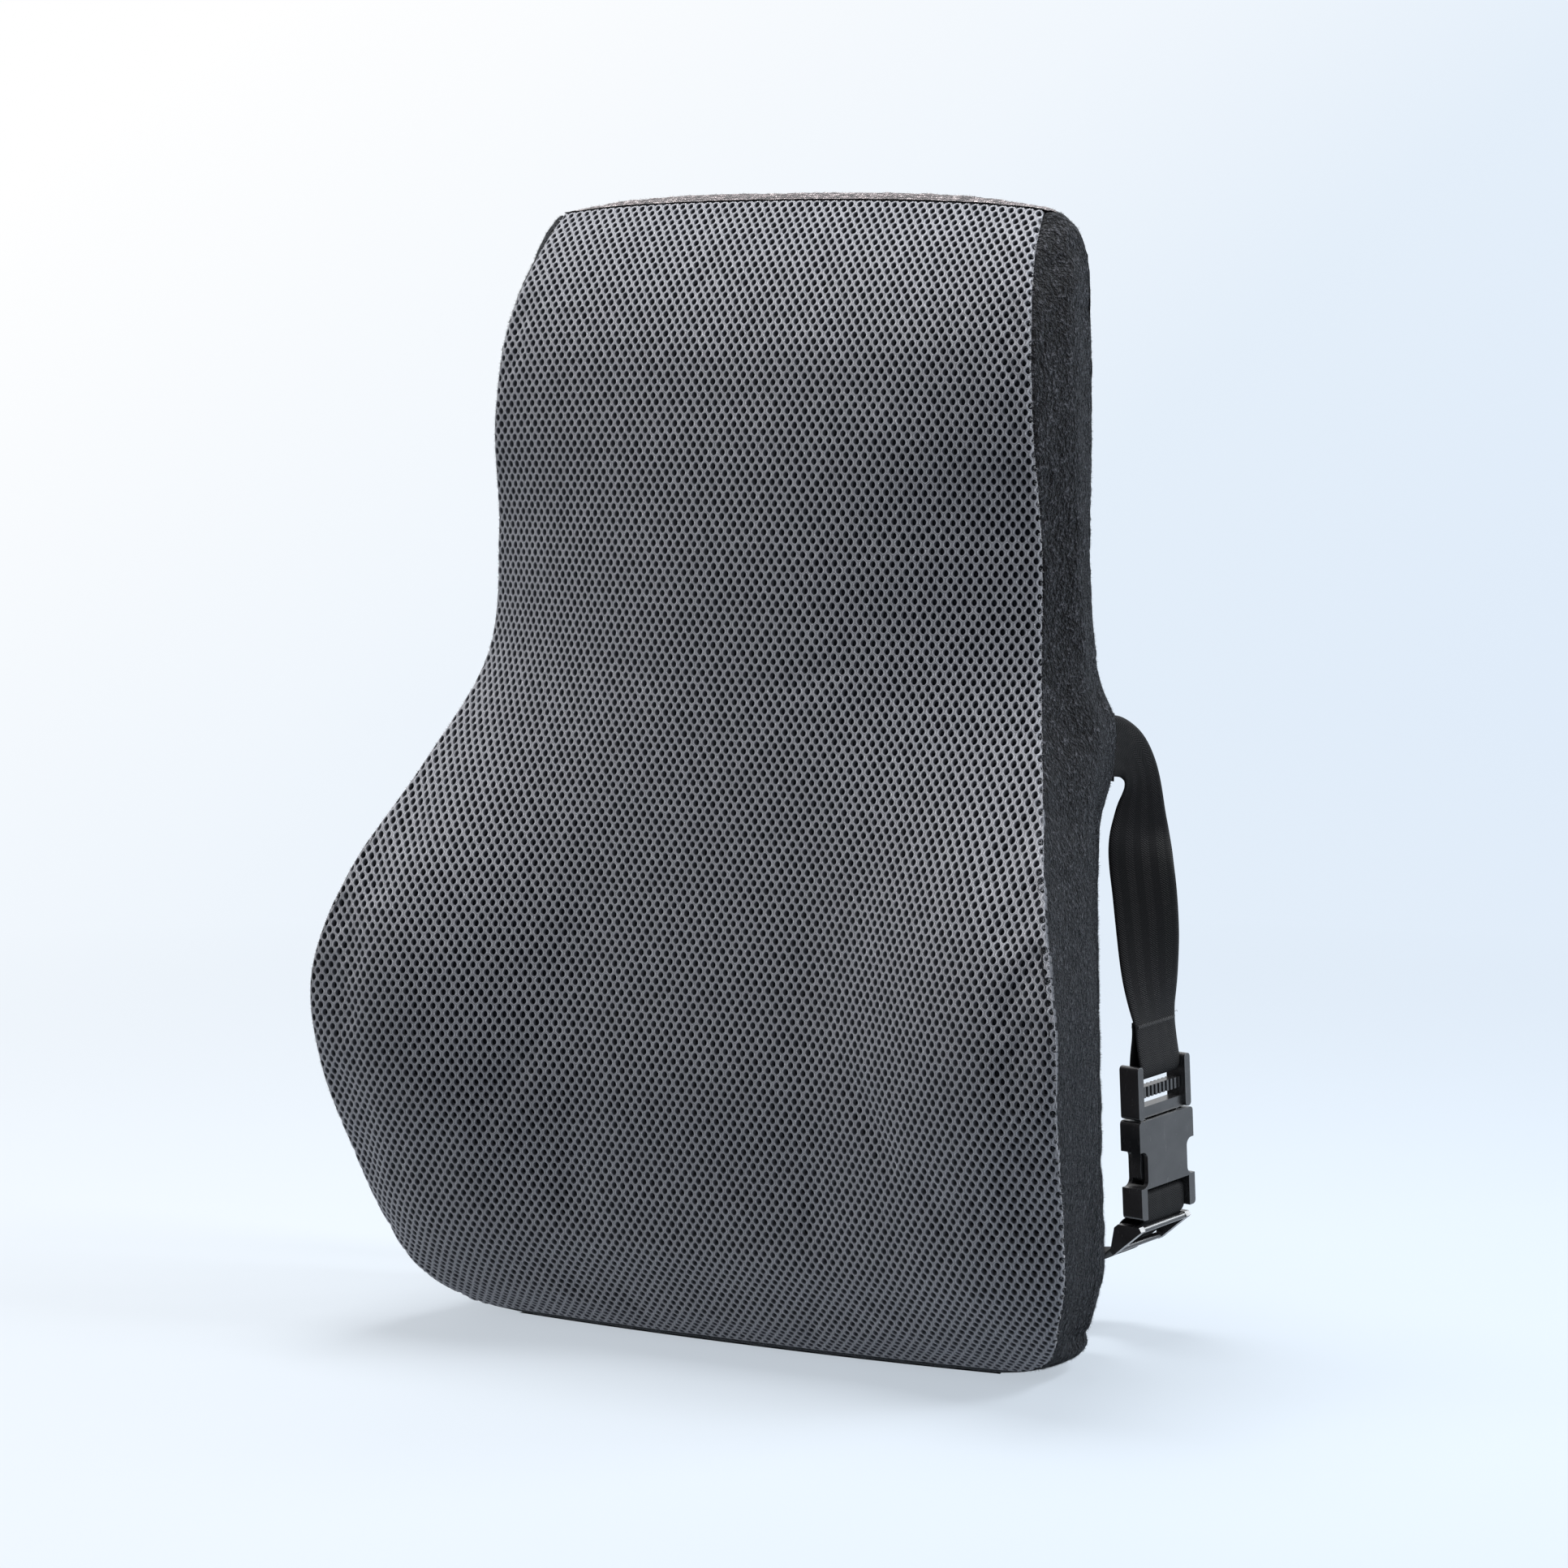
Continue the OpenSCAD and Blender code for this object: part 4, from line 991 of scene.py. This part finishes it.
DOWN = [[-132, 60.5, 150, -0.6, 0.8, 0], [-132, 62, 120, -0.4, 0.92, 0], [-131, 65, 90, -0.25, 0.97, 0],
        [-127, 67, 62, -0.15, 0.99, 0], [-113, 68, 42, -0.1, 1, 0], [-86, 69, 32, 0, 1, 0],
        [-45, 69, 27, 0, 1, 0], [0, 69, 26, 0, 1, 0], [45, 70, 26, 0, 1, 0], [82, 71, 27.6, 0.1, 1, 0]]


def eased(L, n):
    L = np.array([list(r) + [STRAP_W] * (7 - len(r)) for r in L], float)
    out = []
    for i in range(len(L) - 1):
        a, b, c, d = L[max(0, i - 1)], L[i], L[i + 1], L[min(len(L) - 1, i + 2)]
        for k in range(n):
            t = k / n
            out.append(0.5 * (2 * b + (c - a) * t + (2 * a - 5 * b + 4 * c - d) * t * t + (3 * b - a - 3 * c + d) * t**3))
    out.append(L[-1])
    return out


def arc(cy, cz, r, a0, a1, n):
    return [np.array(st_(bp(0, cy + r * math.cos(a), cz + r * math.sin(a)))) for a in np.radians(np.linspace(a0, a1, n + 1))]


def ribbon(name, L, w=STRAP_W, t=STRAP_T, nw=22, smooth_passes=2, bow=0.0, root=False):
    L = np.array(L, float)
    keep = np.concatenate([[True], np.linalg.norm(np.diff(L[:, :3], axis=0), axis=1) > 0.05])
    L = L[keep]
    # even steps along the strap
    c = L[:, :3]
    s = np.concatenate([[0], np.cumsum(np.linalg.norm(np.diff(c, axis=0), axis=1))])
    n = max(24, int(s[-1] / 1.1))
    ss = np.linspace(0, s[-1], n)
    R = np.stack([np.interp(ss, s, L[:, k]) for k in range(7)], 1)
    for _ in range(smooth_passes):
        R[1:-1] = R[1:-1] * 0.5 + 0.25 * (R[:-2] + R[2:])
    c = R[:, :3]
    tan = unit(np.gradient(c, axis=0))
    wd = unit(R[:, 3:6])
    skew = np.clip((step01(30, 46, ss))[:, None], 0, 1)
    flat = unit(wd - tan * (wd * tan).sum(1, keepdims=True))
    wd = unit(wd * (1 - skew) + flat * skew) if root else flat
    nr = unit(np.cross(tan, wd))
    ws = (R[:, 6] / w)[:, None, None]
    x = np.linspace(-1, 1, nw + 1)
    th = t / 2 * np.sqrt(np.clip(1 - np.abs(x) ** 10, 0, 1)) * 0.98
    th[0] = th[-1] = 0.12
    prof = [(xx * w / 2, tt) for xx, tt in zip(x, th)] + [(xx * w / 2, -tt) for xx, tt in zip(x[::-1], th[::-1])]
    prof = np.array(prof)
    m = len(prof)
    P = c[:, None] + wd[:, None] * prof[None, :, :1] * ws + nr[:, None] * (prof[None, :, 1:] + bow * (1 - (prof[None, :, :1] / (w / 2)) ** 2))
    f = grid_faces(n, m, close_u=True)
    uu = np.repeat(ss, m)
    vv = np.tile(prof[:, 0], n)
    uv = np.stack([uu[f.ravel()], vv[f.ravel()] + 40], -1)
    verts = P.reshape(-1, 3)
    # end caps as quads across the thickness
    capf = []
    for base in (0, (n - 1) * m):
        for k in range(nw):
            q = [base + k, base + k + 1, base + m - 2 - k, base + m - 1 - k]
            capf.append(q if base else q[::-1])
    capf = np.array(capf)
    uvc = np.stack([uu[capf.ravel()], vv[capf.ravel()] + 40], -1)
    o = add_mesh(name, verts * MM, np.concatenate([f, capf]), M_WEB, {"cloth": np.concatenate([uv, uvc])})
    bm = bmesh.new()
    bm.from_mesh(o.data)
    bmesh.ops.recalc_face_normals(bm, faces=bm.faces)
    bm.to_mesh(o.data)
    bm.free()
    return o, float(ss[-1]), c, wd, nr


upL = eased(ROOT + UP + [st_(bp(0, -0.85, 38))], 10)
upL += eased([st_(bp(0, -0.85, 34)), st_(bp(0, -1.6, 27)), st_(bp(0, -LAY, 21)), st_(bp(0, -LAY, FRAME_BAR + 0.6))], 8)
upL += arc(0, FRAME_BAR, LAY, 180, 360, 24)
upL += eased([st_(bp(0, LAY, FRAME_BAR + 0.6)), st_(bp(0, LAY, 21)), st_(bp(0, 1.7, 27)), st_(bp(0, 0.75, 33)), st_(bp(0, 0.75, 38))], 8)
strap_up, len_up, UPc, UPw, UPn = ribbon("strap_upper_web", upL, root=True)
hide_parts("strap_upper")

loL = eased([[-a[0], a[1], a[2], -a[3], a[4], a[5], *a[6:]] for a in (ROOT + UP)[:-2]] + DOWN + [st_(run_pt(37, 2.4)), st_(run_pt(31, 0))], 10)
loL += [np.array(st_(run_pt(s, 0))) for s in (27, 22, 17, 12, 6, 3, 1.5)]
loL += eased([st_(run_pt(1.5, 0)), st_(bp(0, ADJ_Y, ADJ_Z + 1.5)), st_(bp(0, ADJ_Y, SOCKET_BAR - 0.5))], 6)
loL += arc(0, SOCKET_BAR, LAY, 180, 0, 24)
strap_lo, len_lo, LOc, LOw, LOn = ribbon("strap_lower_web", loL, root=True)
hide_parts("strap_lower")

_m = on_run(ADJ_MID, ADJ_LIFT)
_rr = 1.3 + 0.15 + STRAP_T / 2
reL = eased([st_(bp(0, LAY, SOCKET_BAR - 0.15)), st_(bp(0, LAY, SOCKET_BAR - 2)), st_(bp(0, LAY + 0.2, ADJ_Z + 3))], 8)
reL += arc(_m[0], _m[1], _rr, 70, -215, 30)
strap_re, len_re, REc, REw, REn = ribbon("strap_return_web", reL, smooth_passes=1)
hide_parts("strap_return")
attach(strap_lo, "cushion")
print("strap lengths", round(len_up), round(len_lo), round(len_re))


# ---------------------------------------------------------------- threads
def thread_bits(name, segs, r, mat, sides=6):
    """Short rounded stitches: segs = [(p0, p1, normal)] in mm, each bowed slightly out along its normal."""
    V, F = [], []
    for p0, p1, nrm in segs:
        p0, p1, nrm = np.asarray(p0, float), np.asarray(p1, float), unit(np.asarray(nrm, float))
        d = p1 - p0
        ln = np.linalg.norm(d)
        d = d / max(ln, 1e-9)
        sd = unit(np.cross(d, nrm))
        base = len(V)
        ts = np.array([0, 0.12, 0.35, 0.65, 0.88, 1.0])
        rs = np.array([0.35, 0.8, 1, 1, 0.8, 0.35]) * r
        hs = np.array([-0.6, 0.1, 0.55, 0.55, 0.1, -0.6]) * r
        for t, rr, h in zip(ts, rs, hs):
            for k in range(sides):
                a = 2 * math.pi * k / sides
                V.append(p0 + d * ln * t + nrm * (h + rr * math.sin(a)) + sd * rr * math.cos(a))
        for j in range(len(ts) - 1):
            for k in range(sides):
                F.append([base + j * sides + k, base + j * sides + (k + 1) % sides, base + (j + 1) * sides + (k + 1) % sides, base + (j + 1) * sides + k])
        F.append([base + k for k in range(sides)][::-1])
        F.append([base + (len(ts) - 1) * sides + k for k in range(sides)])
    o = add_mesh(name, np.array(V) * MM, F, mat)
    bm = bmesh.new()
    bm.from_mesh(o.data)
    bmesh.ops.recalc_face_normals(bm, faces=bm.faces)
    bm.to_mesh(o.data)
    bm.free()
    return o


def bar_tack():
    """Close zigzag across the strap's doubled end above the buckle."""
    segs = []
    for face, y0 in ((-1, -0.85 - STRAP_T / 2), (1, 0.75 + STRAP_T / 2)):
        for zc in (36.4,):
            n = 46
            for k in range(n):
                x = -11.6 + 23.2 * k / (n - 1)
                zz = zc + (0.75 if k % 2 else -0.75)
                x2 = -11.6 + 23.2 * min(k + 1, n - 1) / (n - 1)
                zz2 = zc + (0.75 if (k + 1) % 2 else -0.75)
                if k < n - 1:
                    segs.append((bp(x, y0 + face * 0.06, zz), bp(x2, y0 + face * 0.06, zz2), by * face))
    return segs


tack = thread_bits("strap_bar_tack", bar_tack(), 0.17, M_THREAD_D)
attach(tack, "buckle_plug")
stray = thread_bits("strap_loose_thread", [(bp(12.2, -0.9, 38.0), bp(13.3, -1.5, 38.6), bx), (bp(13.2, -1.45, 38.55), bp(13.9, -1.2, 37.8), bx)], 0.10, M_THREAD)
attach(stray, "buckle_plug")
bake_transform(strap_up)
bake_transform(strap_re)


def edge_tacks():
    """Rows of stitches that hold the strap's roots in the back seams, and the zip's topstitching."""
    root, top = [], []
    for sg in (1, -1):
        for k in range(11):
            z0 = 223.6 + k * 2.15
            a, na = S["back"].at(np.array([sg * 0.972]), np.array([z0]), np.array([-0.1]))
            b, nb = S["back"].at(np.array([sg * 0.972]), np.array([z0 + 1.5]), np.array([-0.1]))
            root.append((a[0], b[0], na[0]))
    B = S["back"]
    for zz in (63.2, 80.8):
        x = np.arange(-101, 101, 3.3)
        for x0 in x:
            w = float(curve(BT, 1, zz))
            a, na = B.at(np.array([x0 / w]), np.array([zz]), np.array([-0.05]))
            b, nb = B.at(np.array([(x0 + 2.4) / w]), np.array([zz]), np.array([-0.05]))
            top.append((a[0], b[0], na[0]))
    for xx in (-101.5, 101.5):
        for z0 in np.arange(63.4, 80.0, 3.0):
            w = float(curve(BT, 1, z0))
            a, na = B.at(np.array([xx / w]), np.array([z0]), np.array([-0.05]))
            b, nb = B.at(np.array([xx / w]), np.array([z0 + 2.2]), np.array([-0.05]))
            top.append((a[0], b[0], na[0]))
    return root, top


_root, _top = edge_tacks()
roots = thread_bits("strap_root_stitches", _root, 0.28, M_THREAD)
topst = thread_bits("zip_topstitch", _top, 0.26, M_THREAD_G)
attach(roots, "cushion")
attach(topst, "cushion")


# ---------------------------------------------------------------- fibres
def fibres(name, pts, nrm, n_len, width, mat, lean=0.7):
    """Thin tapered fibres, one triangle each, standing on the cloth."""
    n = len(pts)
    r = RNG.normal(size=(n, 3))
    d = unit(nrm + lean * (r - nrm * (r * nrm).sum(1, keepdims=True)))
    ln = n_len * RNG.uniform(0.55, 1.25, (n, 1))
    sd = unit(np.cross(d, RNG.normal(size=(n, 3))))
    base = pts - nrm * 0.15
    V = np.stack([base - sd * width / 2, base + sd * width / 2, base + d * ln], 1).reshape(-1, 3)
    V[:, 2] = np.maximum(V[:, 2], 0.02)
    F = np.arange(3 * n).reshape(n, 3)
    o = add_mesh(name, V * MM, F, mat, smooth=False)
    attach(o, "cushion")
    return o


def scatter(P, N, n, mask=None):
    """n random points on a grid surface P (mm), by area."""
    a = P[:-1, :-1]
    e1, e2 = P[:-1, 1:] - a, P[1:, :-1] - a
    w = np.linalg.norm(np.cross(e1, e2), axis=-1)
    if mask is not None:
        w = w * mask
    c = np.cumsum(w.ravel())
    k = np.searchsorted(c, RNG.uniform(0, c[-1], n))
    j, i = np.unravel_index(np.clip(k, 0, w.size - 1), w.shape)
    u, v = RNG.uniform(size=(n, 1)), RNG.uniform(size=(n, 1))
    p = P[j, i] * (1 - u) * (1 - v) + P[j, i + 1] * u * (1 - v) + P[j + 1, i] * (1 - u) * v + P[j + 1, i + 1] * u * v
    return p, unit(N[j, i])


for side, p, n in fuzz_src:
    q, m = scatter(p, n, 60000)
    fibres("plush_fibres_" + side, q, m, 1.15, 0.13, M_PLUSH, 0.8)
q, m = scatter(BACK_P, BACK_N, 46000)
fibres("back_fibres", q, m, 1.1, 0.13, M_BACK, 0.9)


def cut_edge():
    """Short cut yarn ends along both front seams."""
    F = S["front"]
    z = RNG.uniform(6, 440.5, 5200)
    sg = RNG.choice([-1.0, 1.0], 5200)
    off = np.abs(RNG.normal(0, 0.0045, 5200))
    p, n = F.at(sg * (1 - off), z, np.full(5200, 0.9))
    out = np.column_stack([sg, np.zeros(5200), np.zeros(5200)])
    d = unit(n * 0.9 + out * 0.35)
    return fibres("seam_yarn_ends", p, d, 1.0, 0.16, M_TUFT, 0.7)


cut_edge()


# ---------------------------------------------------------------- hard parts: the CAD nodes with rounded edges
def finish_node(name, mat, width, segments=2, angle=30):
    o = NODES[name]
    for s in o.material_slots:
        s.material = mat
    if not o.material_slots:
        o.data.materials.append(mat)
    w = o.modifiers.new("weld", "WELD")
    w.merge_threshold = 0.00001
    b = o.modifiers.new("bevel", "BEVEL")
    b.width = width * MM
    b.segments = segments
    b.limit_method = "ANGLE"
    b.angle_limit = math.radians(angle)
    b.harden_normals = False
    b.miter_outer = "MITER_ARC"
    b.use_clamp_overlap = True
    for p in o.data.polygons:
        p.use_smooth = True
    ns = o.modifiers.new("wn", "WEIGHTED_NORMAL")
    ns.keep_sharp = False
    return o


for nme, wd_ in (("buckle_socket", 0.7), ("buckle_frame", 0.35), ("buckle_guide", 0.25), ("prong_front", 0.35), ("prong_rear", 0.35), ("strap_adjuster", 0.4)):
    finish_node(nme, M_BUCKLE, wd_, 3)
for nme in ("zip_teeth_upper", "zip_teeth_lower", "zip_stop_left", "zip_stop_right", "zip_slider", "zip_pull"):
    finish_node(nme, M_ZIP, 0.2)
for nme in ("zip_tape_upper", "zip_tape_lower"):
    finish_node(nme, M_TAPE, 0.15)
for nme in ("strap_anchor_right", "strap_anchor_left"):
    finish_node(nme, M_WEB, 0.12)

# ---------------------------------------------------------------- stage
def bowl():
    """Flat floor that sweeps up into a round wall."""
    prof = [(r, 0.0) for r in (0.0, 0.5, 1.0, 1.5, 2.0, 2.4)]
    prof += [(2.4 + 1.6 * math.sin(a), 1.6 - 1.6 * math.cos(a)) for a in np.radians(np.linspace(6, 90, 22))]
    prof += [(4.0, z) for z in (2.2, 3.0, 4.0)]
    n = 120
    V = [(0.0, 0.0, 0.0)]
    for r, z in prof[1:]:
        V += [(r * math.cos(2 * math.pi * k / n), r * math.sin(2 * math.pi * k / n), z) for k in range(n)]
    F = [[0, 1 + k, 1 + (k + 1) % n] for k in range(n)]
    for j in range(len(prof) - 2):
        F += [[1 + j * n + k, 1 + (j + 1) * n + k, 1 + (j + 1) * n + (k + 1) % n, 1 + j * n + (k + 1) % n] for k in range(n)]
    return add_mesh("studio_floor", V, F, mat_floor())


floor = bowl()
floor.location = (0, 0, -0.0002)

world = bpy.data.worlds.new("studio")
scene.world = world
world.use_nodes = True
wt = world.node_tree
bg = wt.nodes["Background"]
bg.inputs[0].default_value = (0.97, 0.985, 1.0, 1)
bg.inputs[1].default_value = 0.62


def area(name, pos, aim, size, power, color=(1, 1, 1)):
    ld = bpy.data.lights.new(name, "AREA")
    ld.shape = "RECTANGLE"
    ld.size, ld.size_y = size
    ld.energy = power
    ld.color = color
    o = bpy.data.objects.new(name, ld)
    o.location = pos
    d = Vector(aim) - Vector(pos)
    o.rotation_euler = d.to_track_quat("-Z", "Y").to_euler()
    scene.collection.objects.link(o)
    return o


area("key_top", (-0.2, 0.06, 1.7), (0, 0, 0.3), (0.8, 0.7), 60, (1, 0.99, 0.98))
area("key_left", (-1.6, -0.8, 0.55), (0, 0, 0.2), (0.8, 0.8), 15, (0.97, 0.98, 1))
area("rim_back", (1.0, 0.8, 0.9), (0, 0, 0.25), (0.5, 0.9), 17, (0.93, 0.97, 1))
area("side_high", (0.85, 0.12, 1.0), (0.12, 0.02, 0.42), (0.3, 0.3), 13.0, (0.97, 0.98, 1))
area("card_right", (1.15, 0.74, 0.16), (0.135, 0.07, 0.09), (0.7, 0.5), 1.6, (0.90, 0.96, 1))
